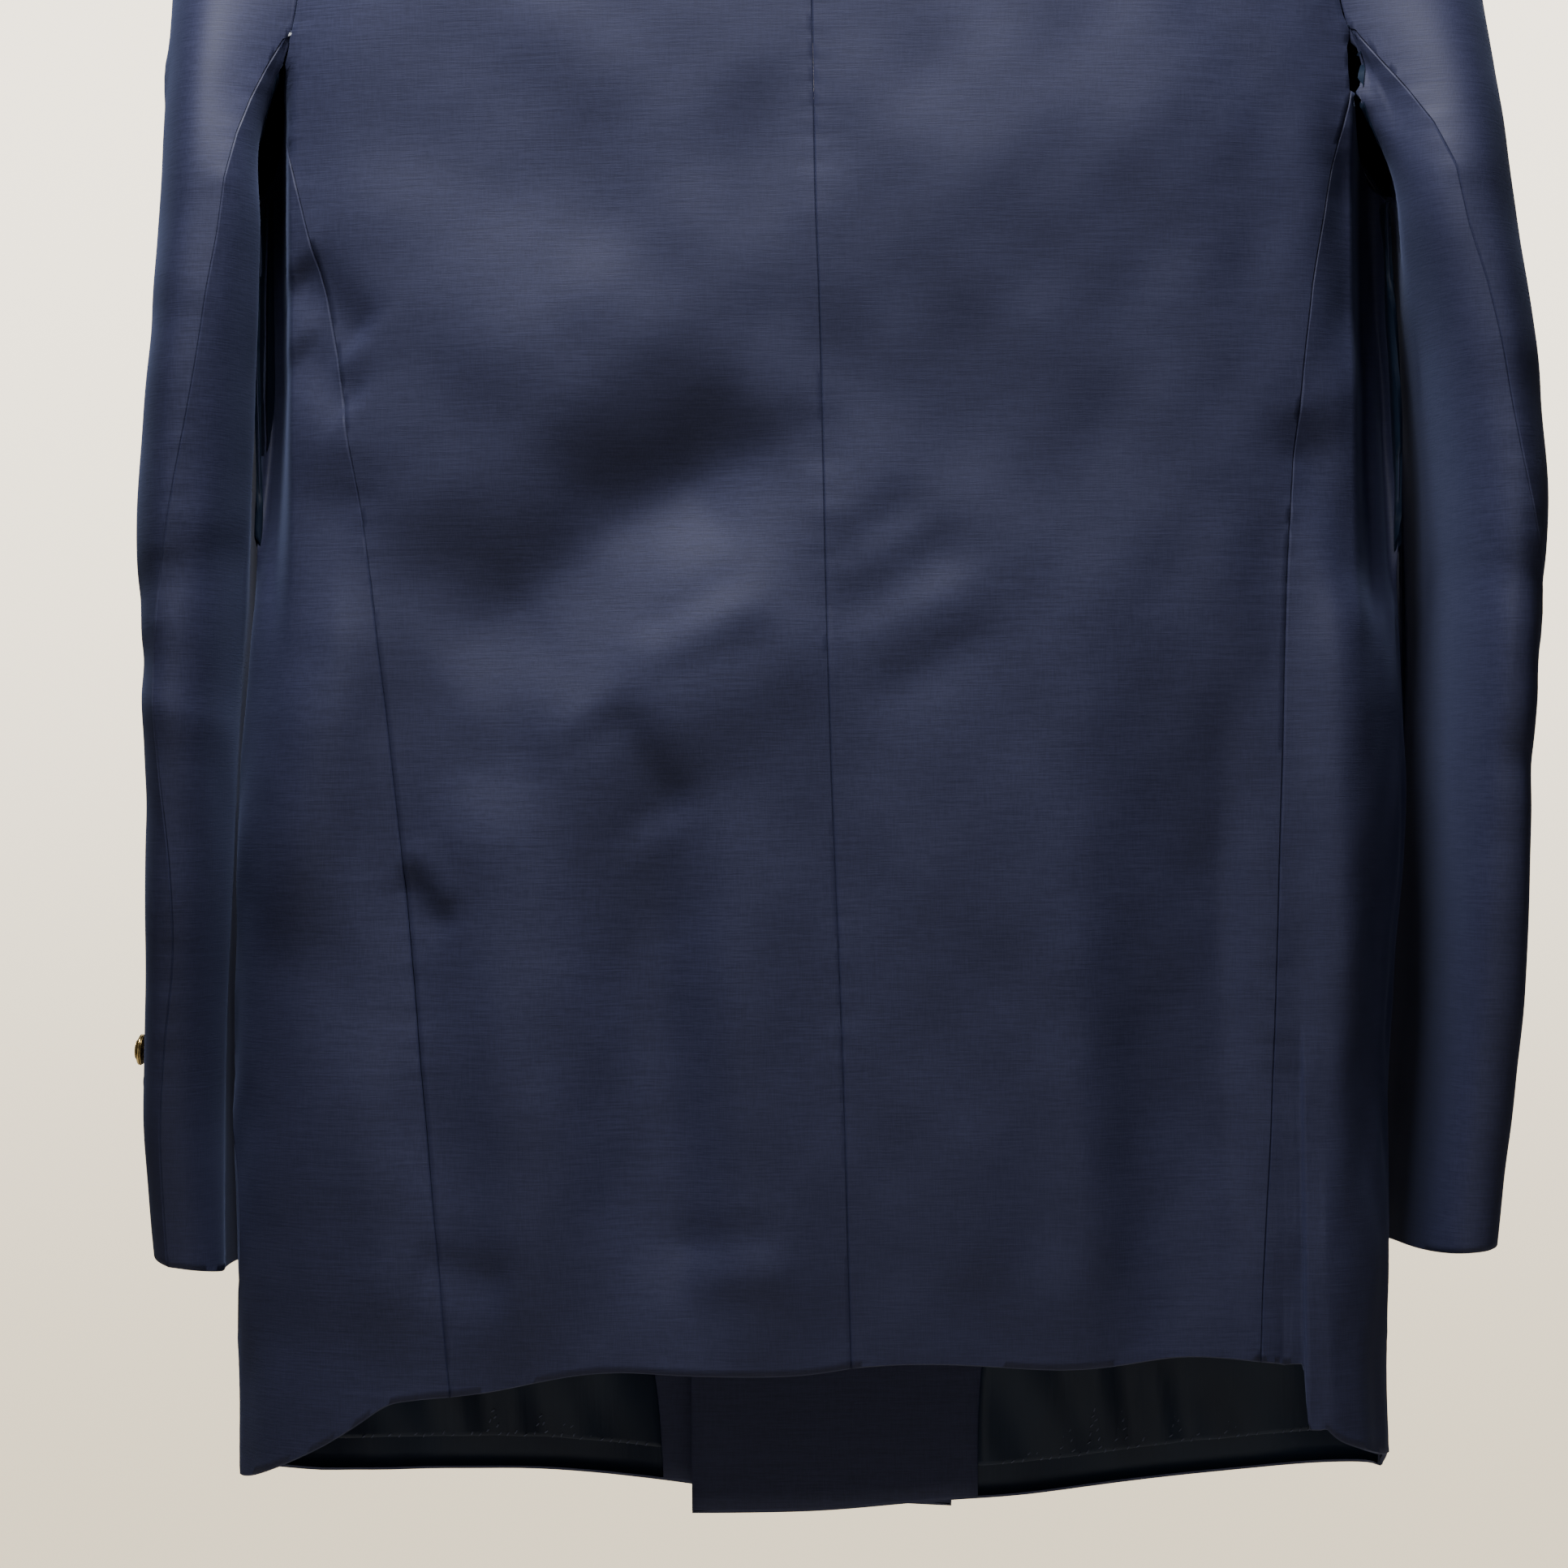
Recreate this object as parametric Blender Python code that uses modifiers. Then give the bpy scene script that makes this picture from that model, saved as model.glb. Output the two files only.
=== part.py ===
"""A double-breasted blazer on a plain hanger, modelled as the cloth pieces that a tailor cuts.

The front faces -Y, the wearer's left is +X, and Z is up. The origin is where the hook bears on its rail.
Lengths are in millimetres here, and new_mesh turns them into Blender's metres. "depth" is the height
below the nape, the middle of the back neck seam. "way" is the distance round the body from the middle
of the back, positive to the wearer's left.
"""

import math

import bmesh
import bpy
import numpy as np
from mathutils import Matrix, Vector

MM = 0.001
CLOTH = 1.6
THIN_CLOTH = 1.0
SEAM_GAP = 0.3
LAYER_GAP = 0.5
LAPEL_GAP = 1.4
FLAP_GAP = 1.1
NAPE_DROP = 110.0

ROUNDNESS = 3.3
NECK_X, NECK_DEPTH = 82.0, -18.0
SHOULDER_X, SHOULDER_DEPTH = 232.0, 50.0
SHOULDER_ROUND = 215.0
UNDERARM = 253.0
LEVEL = 265.0
SIDE_TOP = 211.0
BREAK_DEPTH = 360.0
OVERLAP = 58.0
LAP_LIFT = 6.6
FACING_CLOTH = 1.2
FACING_HEM = 1.5
LINING_HEM = 15.0


class Table:
    """Rows of numbers under named columns, read between its rows on a smooth curve."""

    def __init__(self, names, *rows):
        self.names = names.split()
        self.rows = np.array(rows, float)

    def at(self, key, name):
        knots = self.rows[:, 0]
        values = self.rows[:, self.names.index(name)]
        steps = np.diff(knots)
        slopes = np.diff(values) / steps
        before, after = slopes[:-1], slopes[1:]
        both = before * after
        total = np.where(both > 0, before + after, 1.0)
        inner = np.where(both > 0, 2 * both / total, 0.0)
        tangents = np.concatenate([slopes[:1], inner, slopes[-1:]])
        row = np.clip(np.searchsorted(knots, key) - 1, 0, len(steps) - 1)
        step = steps[row]
        t = np.clip((key - knots[row]) / step, 0, 1)
        start = values[row] * (1 + 2 * t) * (1 - t) ** 2
        end = values[row + 1] * t**2 * (3 - 2 * t)
        leave = tangents[row] * step * t * (1 - t) ** 2
        arrive = tangents[row + 1] * step * t**2 * (t - 1)
        return start + end + leave + arrive


BODY = Table(
    "depth left right back front",
    (-60, 238, 243, 58, 56),
    (100, 238, 243, 59, 57),
    (265, 239, 246, 60, 58),
    (373, 239, 250, 61, 59),
    (428, 240, 247, 62, 60),
    (500, 246, 250, 63, 61),
    (620, 250, 241, 64, 62),
    (690, 250.5, 242, 65, 62),
    (750, 249.5, 240, 65, 62),
    (830, 247.5, 243.5, 65, 62),
)
BACK_SEAMS = Table(
    "depth left middle right",
    (178, 229, 1, -230),
    (211, 226, 0.5, -225),
    (257, 215, 0, -214),
    (311, 202, -1.7, -204),
    (356, 195, -2.4, -200),
    (403, 187.5, -3, -195),
    (498, 177, -5, -191.5),
    (578, 169, -7.7, -189),
    (646, 163, -9.5, -186.5),
    (700, 158.5, -10.5, -183),
    (755, 154, -11.7, -180),
)
SIDE_SEAMS = Table(
    "depth left right",
    (253, -12, -12),
    (590, 0, -8),
    (625, 14, 4),
    (665, 27, 17),
    (700, 31, 22),
    (735, 12, 8),
    (755, -2, 0),
    (792, -9, -8),
)
ARMHOLE = Table(
    "depth back front",
    (50, 232, 232),
    (75, 222, 218),
    (110, 214.5, 206),
    (150, 213, 202),
    (185, 218, 208),
    (211, 226, 217),
    (235, 234, 229),
)
SIDE_TOP_EDGE = Table(
    "across depth",
    (0, SIDE_TOP),
    (0.25, 231),
    (0.5, 246),
    (0.75, UNDERARM),
    (1, UNDERARM),
)
BACK_HEM = Table(
    "x depth",
    (-244, 787.5),
    (-220, 776),
    (-202, 767.5),
    (-195.5, 743),
    (-175, 739.7),
    (-151, 737.3),
    (-134, 738),
    (-117, 742),
    (-97, 742),
    (-39, 738.7),
    (-5, 741.3),
    (12, 743.8),
    (55, 743.5),
    (86, 741.3),
    (103, 742.3),
    (136, 750),
    (180, 755),
    (198, 768),
    (218, 779),
    (247, 791.8),
)
FRONT_HEM = Table(
    "x left right",
    (-58, 823, 824),
    (-50, 823, 827),
    (-27, 821.5, 825),
    (13, 819, 823),
    (59, 812.5, 819),
    (86, 808, 817.5),
    (115, 803.5, 814),
    (144, 803, 809),
    (170, 802.5, 806.5),
    (218, 801.5, 799.5),
    (240, 797, 795.5),
    (247, 793, 790),
)
FOLDS = Table(
    "x depth end_x end_depth rise spread",
    (128, 398, 14, 338, -7, 19),
    (66, 470, 8, 368, 4.5, 24),
    (-133, 560, -138, 770, -7, 11),
    (-112, 580, -117, 770, 3, 13),
    (80, 470, 62, 730, -4.5, 20),
    (176, 500, 150, 700, -4, 14),
    (118, 520, 112, 770, 3.5, 20),
    (186, 400, 228, 590, 4.5, 15),
    (-222, 380, -222, 640, 4.5, 14),
)
STEP_FOLD = {"x": -199.0, "width": 5.0, "top": 585.0, "full": 735.0, "rise": 12.0}

SLEEVE_LEFT = Table(
    "depth middle half skew forward reach",
    (237, 251, 22.5, 0, -8, 77),
    (268, 254, 25, 0, -10, 80),
    (306, 257, 26, 0, -9, 82),
    (367, 261.5, 25.5, 0, -7, 80),
    (408, 264, 24.5, 0, -5, 78),
    (466, 263.5, 21, 2, -5, 75),
    (535, 261.5, 20.5, 5.5, -9, 72),
    (590, 261.5, 20, 8, -14, 69),
    (645, 263, 21, 9, -20, 67),
    (701, 260.5, 21, 8.5, -25, 66),
)
SLEEVE_RIGHT = Table(
    "depth middle half skew forward reach",
    (214, 261, 26, 0, -8, 76),
    (265, 270, 27.5, 0, -10, 80),
    (321, 279.5, 26, 1, -9, 82),
    (367, 282.5, 24.5, 3.5, -7, 80),
    (405, 281, 22.5, 8, -5, 78),
    (474, 275.5, 18, 12, -6, 74),
    (512, 273, 18, 14, -9, 72),
    (581, 270.5, 19, 14.5, -14, 69),
    (630, 267.5, 20, 13, -20, 67),
    (697, 261.5, 21.5, 12, -25, 66),
)
ELBOW_SEAM = Table(
    "depth left right",
    (170, -62, -52),
    (206, -44, -30),
    (242, -26, -9),
    (281, -8, -1),
    (346, -1, 1),
    (386, 4, 8),
    (411, 10, 20),
    (430, 17, 38),
    (455, 20, 56),
    (490, 13, 68),
    (540, 0, 78),
    (575, -1, 84),
    (605, 3, 88),
    (700, 10, 94),
)
CUFF_BUTTONS = {"first": 611.5, "pitch": 14.5, "turn": 70.0, "turn_step": 12.0}

LAPEL = Table(
    "depth outer",
    (48, 158),
    (60, 155),
    (110, 139),
    (160, 116),
    (220, 82),
    (290, 28),
    (340, -28),
    (362, -54),
)
COLLAR = Table(
    "station foot_x foot_depth fold_x fold_y fold_depth fall_x fall_below",
    (0, 0, 0, 0, 36, -33, 0, 76),
    (0.2, 26, -2, 25, 33, -35, 36, 61),
    (0.4, 52, -7, 49, 26, -40, 72, 42),
    (0.55, 70, -13, 65, 15, -45, 99, 21),
    (0.7, 82, -17.5, 74, -2, -46, 119, 0),
    (0.85, 80, 4, 76, -20, -24, 129, 31),
    (1, 75, 22, 73.5, -37, 2, 122, 72),
)

COLOURS = {
    "wool": ((0.022, 0.026, 0.052, 1), 0.75, 0.0),
    "satin": ((0.012, 0.020, 0.032, 1), 0.35, 0.0),
    "gold": ((0.80, 0.58, 0.25, 1), 0.25, 1.0),
    "wood": ((0.42, 0.25, 0.13, 1), 0.45, 0.0),
    "steel": ((0.62, 0.62, 0.63, 1), 0.25, 1.0),
}

for old in list(bpy.data.objects):
    bpy.data.objects.remove(old, do_unlink=True)
blazer = bpy.data.collections.new("blazer")
bpy.context.scene.collection.children.link(blazer)


def material(name):
    """The finish of that name, made once."""
    found = bpy.data.materials.get(name)
    if found:
        return found
    made = bpy.data.materials.new(name)
    made.use_nodes = True
    colour, roughness, metallic = COLOURS[name]
    shader = made.node_tree.nodes["Principled BSDF"]
    shader.inputs["Base Color"].default_value = colour
    shader.inputs["Roughness"].default_value = roughness
    shader.inputs["Metallic"].default_value = metallic
    return made


def new_object(name, mesh, finish):
    piece = bpy.data.objects.new(name, mesh)
    mesh.materials.append(material(finish))
    blazer.objects.link(piece)
    return piece


def new_mesh(name, points, faces):
    """A mesh in metres, its faces turned to point outwards."""
    mesh = bpy.data.meshes.new(name)
    mesh.from_pydata((np.asarray(points) * MM).tolist(), [], faces)
    shape = bmesh.new()
    shape.from_mesh(mesh)
    bmesh.ops.recalc_face_normals(shape, faces=shape.faces)
    shape.to_mesh(mesh)
    shape.free()
    mesh.shade_smooth()
    mesh.set_sharp_from_angle(angle=math.radians(40))
    return mesh


def power(value, exponent):
    return np.sign(value) * np.abs(value) ** exponent


def smooth(value):
    t = np.clip(value, 0, 1)
    return t * t * (3 - 2 * t)


def unit(vectors):
    return vectors / np.maximum(np.linalg.norm(vectors, axis=-1, keepdims=True), 1e-9)


def measure_way():
    """How far round the body each angle from the middle of the back is, on a middling section."""
    angles = np.linspace(0, math.radians(235), 2400)
    x = 244 * power(np.sin(angles), 2 / ROUNDNESS)
    y = 62 * power(np.cos(angles), 2 / ROUNDNESS)
    steps = np.hypot(np.diff(x), np.diff(y))
    return angles, np.concatenate([[0], np.cumsum(steps)])


ANGLES, WAYS = measure_way()
SIDE_WAY = float(np.interp(math.pi / 2, ANGLES, WAYS))
FRONT_WAY = float(np.interp(math.pi, ANGLES, WAYS))


def half_width(depth, side):
    return np.where(side > 0, BODY.at(depth, "left"), BODY.at(depth, "right"))


def back_way(x, depth):
    """The way round to a point of the back that lies x from the middle."""
    share = np.clip(np.abs(x) / half_width(depth, np.sign(x)), 0, 1)
    return np.sign(x) * np.interp(np.arcsin(share ** (ROUNDNESS / 2)), ANGLES, WAYS)


def front_way(x, depth, side):
    """The way round to a point of the front of that side's panels, where x may lie past the middle."""
    share = np.clip(side * x / half_width(depth, side), -1, 1)
    angle = math.pi - np.arcsin(power(share, ROUNDNESS / 2))
    return side * np.interp(angle, ANGLES, WAYS)


def ridge(x):
    """The depth of the shoulder line, carried on over the neck."""
    slope = (SHOULDER_DEPTH - NECK_DEPTH) / (SHOULDER_X - NECK_X)
    return NECK_DEPTH + slope * (np.abs(x) - NECK_X)


def back_folds(x, depth):
    """How far the folds of the back and the side panels stand out from it."""
    rise = np.zeros(np.broadcast(x, depth).shape)
    for x0, d0, x1, d1, height, spread in FOLDS.rows:
        along = np.array([x1 - x0, d1 - d0])
        length = np.hypot(*along)
        along = along / length
        s = (x - x0) * along[0] + (depth - d0) * along[1]
        across = (x - x0) * along[1] - (depth - d0) * along[0]
        ends = smooth(s / (0.3 * length)) * smooth((length - s) / (0.3 * length))
        rise = rise + height * ends * np.exp(-((across / spread) ** 2))
    step = smooth((STEP_FOLD["x"] + STEP_FOLD["width"] / 2 - x) / STEP_FOLD["width"])
    grow = smooth((depth - STEP_FOLD["top"]) / (STEP_FOLD["full"] - STEP_FOLD["top"]))
    return rise + STEP_FOLD["rise"] * step * grow


def under_edge(depth):
    """The x of the right front's edge, which is its roll line above the break."""
    rise = (OVERLAP + 78) / (BREAK_DEPTH + 10)
    return OVERLAP - np.clip(BREAK_DEPTH - depth, 0, None) * rise


def body_point(way, depth):
    """The outer face of the cloth at that way round and depth."""
    way, depth = np.broadcast_arrays(np.asarray(way, float), np.asarray(depth, float))
    side = np.where(way < 0, -1.0, 1.0)
    angle = np.interp(np.abs(way), WAYS, ANGLES)
    width = half_width(depth, side)
    x = side * width * power(np.sin(angle), 2 / ROUNDNESS)
    back = np.cos(angle) > 0
    girth = np.where(back, BODY.at(depth, "back"), BODY.at(depth, "front"))
    fall = np.clip((depth - ridge(x)) / SHOULDER_ROUND, 0, 1)
    y = girth * power(np.cos(angle), 2 / ROUNDNESS) * np.sqrt(1 - (1 - fall) ** 2)
    turn = smooth(np.clip(np.cos(angle), 0, 1) / 0.5)
    y = y + np.where(back, back_folds(x, depth) * turn, 0)
    lap = LAP_LIFT * smooth((under_edge(depth) + 44 - x) / 38)
    y = y - np.where(~back & (way > 0), lap, 0)
    return np.stack([x, y, -NAPE_DROP - depth], axis=-1)


def body_normal(way, depth):
    """Straight out of the cloth there."""
    step = 1.5
    way, depth = np.broadcast_arrays(np.asarray(way, float), np.asarray(depth, float))
    across = body_point(way + step, depth) - body_point(way - step, depth)
    down = body_point(way, depth + step) - body_point(way, depth - step)
    normals = unit(np.cross(across, down))
    on_ridge = depth - ridge(body_point(way, depth)[..., 0]) < 0.3
    return np.where(on_ridge[..., None], (0.0, 0.0, 1.0), normals)


def hem_depth(way):
    """The depth of the hem at that way round."""
    side = np.where(way < 0, -1.0, 1.0)
    angle = np.interp(np.abs(way), WAYS, ANGLES)
    x = side * half_width(770.0, side) * power(np.sin(angle), 2 / ROUNDNESS)
    front = np.where(side > 0, FRONT_HEM.at(x, "left"), FRONT_HEM.at(-x, "right"))
    return np.where(np.cos(angle) > 0, BACK_HEM.at(x, "depth"), front)


def grid_normals(points, round_it=False):
    """The normals of a grid of points, rows down and columns across."""
    if round_it:
        across = np.roll(points, -1, axis=1) - np.roll(points, 1, axis=1)
    else:
        across = np.gradient(points, axis=1)
    down = np.gradient(points, axis=0)
    return unit(np.cross(across, down))


def drawn_in(points, half=SEAM_GAP / 2):
    """The grid with its edges drawn in by half a seam gap."""
    moved = points.copy()
    moved[:, 0] += half * unit(points[:, 1] - points[:, 0])
    moved[:, -1] += half * unit(points[:, -2] - points[:, -1])
    moved[0] += half * unit(points[1] - points[0])
    return moved


def wall(name, outer, inner, finish):
    """A closed wall between two grids of points."""
    rows, columns = outer.shape[:2]
    count = rows * columns
    number = np.arange(count).reshape(rows, columns)
    faces = []
    for j in range(rows - 1):
        for i in range(columns - 1):
            a, b = int(number[j, i]), int(number[j, i + 1])
            c, d = int(number[j + 1, i + 1]), int(number[j + 1, i])
            for corners in ((a, b, c), (a, c, d)):
                faces.append(corners)
                faces.append(tuple(corner + count for corner in reversed(corners)))
    down = [(j, 0) for j in range(rows)]
    along = [(rows - 1, i) for i in range(1, columns)]
    up = [(j, columns - 1) for j in range(rows - 2, -1, -1)]
    home = [(0, i) for i in range(columns - 2, 0, -1)]
    border = [int(number[j, i]) for j, i in down + along + up + home]
    for a, b in zip(border, border[1:] + border[:1]):
        faces.append((a, b, b + count, a + count))
    points = np.concatenate([outer.reshape(-1, 3), inner.reshape(-1, 3)])
    return new_object(name, new_mesh(name, points, faces), finish)


def cloth_wall(name, points, normals, out=0.0, thick=CLOTH, finish="wool"):
    """A piece whose outer face lies out from the points given, and whose wall goes in from there."""
    outer = drawn_in(points + normals * out)
    return wall(name, outer, outer - normals * thick, finish)


def body_wall(name, way, depth, out=0.0):
    return cloth_wall(name, body_point(way, depth), body_normal(way, depth), out)


TOP_SHARES = np.array([0, 0.02, 0.08, 0.18, 0.33, 0.5, 0.64, 0.757, 0.85, 0.944, 1])
SIDE_FROM = 7
LOWER_ROWS = 17
BACK_COLUMNS = 9
FRONT_SHARES = np.array([0, 0.11, 0.22, 0.32, 0.394, 0.46, 0.56, 0.66, 0.76, 0.86, 0.94, 1])
FACING_COLUMN = 4
INSIDE_ROW = 14
SIDE_SHARES = np.array([0, 0.09, 0.16, 0.21, 0.32, 0.45, 0.6, 0.75, 0.88, 1])


def seam_way(depth, side):
    """The seam between the back and the side panel."""
    name = "left" if side > 0 else "right"
    return back_way(BACK_SEAMS.at(depth, name), depth)


def side_seam_way(depth, side):
    """The seam between the side panel and the front."""
    name = "left" if side > 0 else "right"
    return side * (SIDE_WAY - SIDE_SEAMS.at(depth, name))


def middle_way(depth):
    return back_way(BACK_SEAMS.at(depth, "middle"), depth)


def armhole_way(depth, side, face):
    """The armhole's edge on the back or the front, which runs into the seam under it."""
    wider = (half_width(depth, side) - BODY.at(depth, "left")) * smooth((depth - 110) / 100)
    x = side * (ARMHOLE.at(depth, face) + wider)
    if face == "front":
        way = front_way(x, depth, side)
        low = side_seam_way(np.full_like(depth, UNDERARM), side)
        join = smooth((depth - 225) / (UNDERARM - 225))
        return way + (low - way) * join
    return back_way(x, depth)


def panel_grid(top, inner_edge, outer_edge, shares):
    """Ways and depths of a panel, from its top edge's depths and the two edges as functions of depth."""
    rows = []
    for share in TOP_SHARES:
        depth = top + (LEVEL - top) * share
        start, end = inner_edge(depth), outer_edge(depth)
        rows.append((start + (end - start) * shares, depth))
    for share in np.linspace(0, 1, LOWER_ROWS + 1)[1:]:
        depth = np.full_like(shares, LEVEL)
        for _ in range(4):
            way = inner_edge(depth) + (outer_edge(depth) - inner_edge(depth)) * shares
            depth = LEVEL + (hem_depth(way) - LEVEL) * share
        rows.append((way, depth))
    return np.array([row[0] for row in rows]), np.array([row[1] for row in rows])


def back_outer(side):
    """The outer edge of a back half: its armhole, then its seam."""

    def edge(depth):
        high = armhole_way(depth, side, "back")
        return np.where(depth < SIDE_TOP, high, seam_way(depth, side))

    return edge


def make_back(side, name):
    shares = np.linspace(0, 1, BACK_COLUMNS + 1)
    x = shares * SHOULDER_X
    neck = NECK_DEPTH * smooth(x / NECK_X)
    top = np.where(x < NECK_X, neck, ridge(x))
    way, depth = panel_grid(top, middle_way, back_outer(side), shares)
    body_wall(name, way, depth)


def front_edge(side):
    """The front's free edge up to the break, and its roll line above."""

    def edge(depth):
        return front_way(-side * under_edge(depth), depth, side)

    return edge


def front_outer(side):
    def edge(depth):
        high = armhole_way(depth, side, "front")
        return np.where(depth < UNDERARM, high, side_seam_way(depth, side))

    return edge


def make_front(side, name):
    x = NECK_X + (SHOULDER_X - NECK_X) * FRONT_SHARES
    for _ in range(8):
        way, depth = panel_grid(ridge(x), front_edge(side), front_outer(side), FRONT_SHARES)
        points = body_point(way, depth)
        x = points[0, :, 0]
    normals = body_normal(way, depth)
    cloth_wall(name, points, normals)
    return points, normals


def side_top_depths():
    return SIDE_TOP_EDGE.at(SIDE_SHARES, "depth")


def make_side(side, name):
    top = side_top_depths()
    first = TOP_SHARES[SIDE_FROM]
    rows = []
    for share in (TOP_SHARES[SIDE_FROM:] - first) / (1 - first):
        depth = top + (LEVEL - top) * share
        start, end = seam_way(depth, side), side_seam_way(depth, side)
        rows.append((start + (end - start) * SIDE_SHARES, depth))
    for share in np.linspace(0, 1, LOWER_ROWS + 1)[1:]:
        depth = np.full_like(SIDE_SHARES, LEVEL)
        for _ in range(4):
            start, end = seam_way(depth, side), side_seam_way(depth, side)
            way = start + (end - start) * SIDE_SHARES
            depth = LEVEL + (hem_depth(way) - LEVEL) * share
        rows.append((way, depth))
    way = np.array([row[0] for row in rows])
    depth = np.array([row[1] for row in rows])
    body_wall(name, way, depth)


def shortened(grid, rise):
    """The grid with its last row moved up by that length along its own columns."""
    above, last = grid[0][-2], grid[0][-1]
    share = rise / np.linalg.norm(last - above, axis=-1, keepdims=True)
    return [np.concatenate([part[:-1], [part[-1] + (part[-2] - part[-1]) * share]]) for part in grid]


def make_inside(points, normals, word):
    """The facing along a front's edge and the lining beside it, from the front's own points."""
    under = -(CLOTH + LAYER_GAP)
    low = [part[INSIDE_ROW:, : FACING_COLUMN + 1] for part in (points, normals)]
    facing, out = shortened(low, FACING_HEM)
    cloth_wall("facing_" + word, facing, out, under, FACING_CLOTH)
    low = [part[INSIDE_ROW:, FACING_COLUMN:] for part in (points, normals)]
    lining, out = shortened(low, LINING_HEM)
    cloth_wall("lining_" + word, lining, out, under, THIN_CLOTH, "satin")


def make_lapel(side, word):
    """The turned-out upper end of a front, from its roll line to its pointed outer edge."""
    rows, columns = 12, 5
    high, low = 48.0, BREAK_DEPTH - 14
    down = np.linspace(0, 1, rows + 1)[:, None]
    across = np.linspace(0, 1, columns + 1)[None]
    roll_depth = 26 + (low - 26) * down
    outer_depth = high + (low - high) * down
    depth = roll_depth + (outer_depth - roll_depth) * across
    notch = 34 * np.exp(-(((across - 0.6) / 0.24) ** 2)) * (1 - smooth(down / 0.3))
    depth = depth + notch
    roll = -under_edge(roll_depth)
    outer = np.maximum(LAPEL.at(outer_depth, "outer"), roll + 8)
    x = roll + (outer - roll) * across
    way = front_way(side * x, depth, side)
    body_wall("lapel_" + word, way, depth, LAPEL_GAP + CLOTH)


COLLAR_LIFT = 2.0
COLLAR_OUT = 3.6


def make_collar():
    """Stand and fall in one, folded over at the top, from gorge to gorge."""
    half = np.array([0.1, 0.2, 0.3, 0.4, 0.5, 0.57, 0.63, 0.67, 0.7, 0.73, 0.77, 0.83, 0.91, 1])
    stations = np.concatenate([-half[::-1], [0], half])
    here = np.abs(stations)
    side = np.where(stations < 0, -1.0, 1.0)
    foot_x = side * COLLAR.at(here, "foot_x")
    foot_depth = COLLAR.at(here, "foot_depth")
    ahead = here > 0.7
    foot_way = np.where(ahead, front_way(foot_x, foot_depth, side), back_way(foot_x, foot_depth))
    foot = body_point(foot_way, foot_depth)
    foot[:, 2] += COLLAR_LIFT
    fold_depth = COLLAR.at(here, "fold_depth")
    fold = [side * COLLAR.at(here, "fold_x"), COLLAR.at(here, "fold_y"), -NAPE_DROP - fold_depth]
    fold = np.stack(fold, axis=-1)
    fall_x = side * COLLAR.at(here, "fall_x")
    fall_depth = ridge(fall_x) + COLLAR.at(here, "fall_below")
    fall_ahead = front_way(fall_x, fall_depth, side)
    fall_way = np.where(ahead, fall_ahead, back_way(fall_x, fall_depth))
    fall = body_point(fall_way, fall_depth)
    fall = fall + COLLAR_OUT * body_normal(fall_way, fall_depth)
    outwards = unit((fall - foot) * (1, 1, 0) + 1e-6)
    crest = (4.0 + 3.0 * smooth((here - 0.6) / 0.2))[:, None]
    rows = []
    for share in (0, 0.5, 0.85):
        rows.append(foot + (fold - foot) * share - (crest - 2.8) * outwards * share)
    rows.append(fold + (0, 0, 1.2))
    for share in (0.15, 0.45, 0.75, 1):
        swell = math.sin(math.pi * share)
        bulge = 3.0 * swell + crest * (1 - share)
        rows.append(fold + (fall - fold) * share + outwards * bulge + (0, 0, 3.0 * swell))
    outer = np.stack(rows)
    inner = outer - grid_normals(outer) * CLOTH
    wall("collar", outer, inner, "wool")


def make_flap(name, side, x_range, depths, slant, gap):
    """A patch that lies on a front: a pocket's flap or welt."""
    across = np.linspace(0, 1, 9)[None]
    down = np.linspace(0, 1, 3)[:, None]
    x = x_range[0] + (x_range[1] - x_range[0]) * across + 0 * down
    depth = depths[0] + (depths[1] - depths[0]) * down + slant * (across - 0.5)
    way = front_way(side * x, depth, side)
    body_wall(name, way, depth, gap + CLOTH)


SLEEVE_HEAD_ROWS = 6
SLEEVE_ROWS = 17
TOP_COLUMNS = 10
UNDER_COLUMNS = 9
FOREARM_TURN = 212.0
HEAD_GAP = 1.1
HEAD_DEPTH = 272.0
SLEEVE_SEAM_GAP = 0.6
SIDE_CLEAR = 5.0
CURVE_WEIGHT = 45.0
OUTER_BULGE = 0.84
INNER_BULGE = 0.6


def section_point(turn, depth, side):
    """A point of the sleeve's level section. The turn is 0 at its back and 90 at its outside."""
    table = SLEEVE_LEFT if side > 0 else SLEEVE_RIGHT
    angle = np.radians(turn)
    sway = power(np.cos(angle), OUTER_BULGE)
    bulge = np.where(np.sin(angle) < 0, INNER_BULGE, OUTER_BULGE)
    x = table.at(depth, "middle") + table.at(depth, "half") * power(np.sin(angle), bulge)
    x = x + table.at(depth, "skew") * sway
    y = table.at(depth, "forward") + table.at(depth, "reach") * sway
    girth = np.where(y > 0, BODY.at(depth, "back"), BODY.at(depth, "front"))
    beside = np.clip(1 - (np.abs(y) / (girth + 4)) ** ROUNDNESS, 0, 1) ** (1 / ROUNDNESS)
    clear = half_width(depth, side) * beside + SIDE_CLEAR
    x = np.maximum(x, clear)
    return np.stack([side * x, y, -NAPE_DROP - depth + 0 * x], axis=-1)


def armhole_loop(side):
    """Ways and depths round the armhole: down the back, along the side panel's top and up the front."""
    down = np.linspace(SHOULDER_DEPTH, SIDE_TOP, 80)
    across = np.linspace(0, 1, 40)[1:-1]
    side_depth = SIDE_TOP_EDGE.at(across, "depth")
    start, end = seam_way(side_depth, side), side_seam_way(side_depth, side)
    up = np.linspace(UNDERARM, SHOULDER_DEPTH, 80)
    way = np.concatenate(
        [armhole_way(down, side, "back"), start + (end - start) * across, armhole_way(up, side, "front")]
    )
    return way, np.concatenate([down, side_depth, up])


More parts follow.
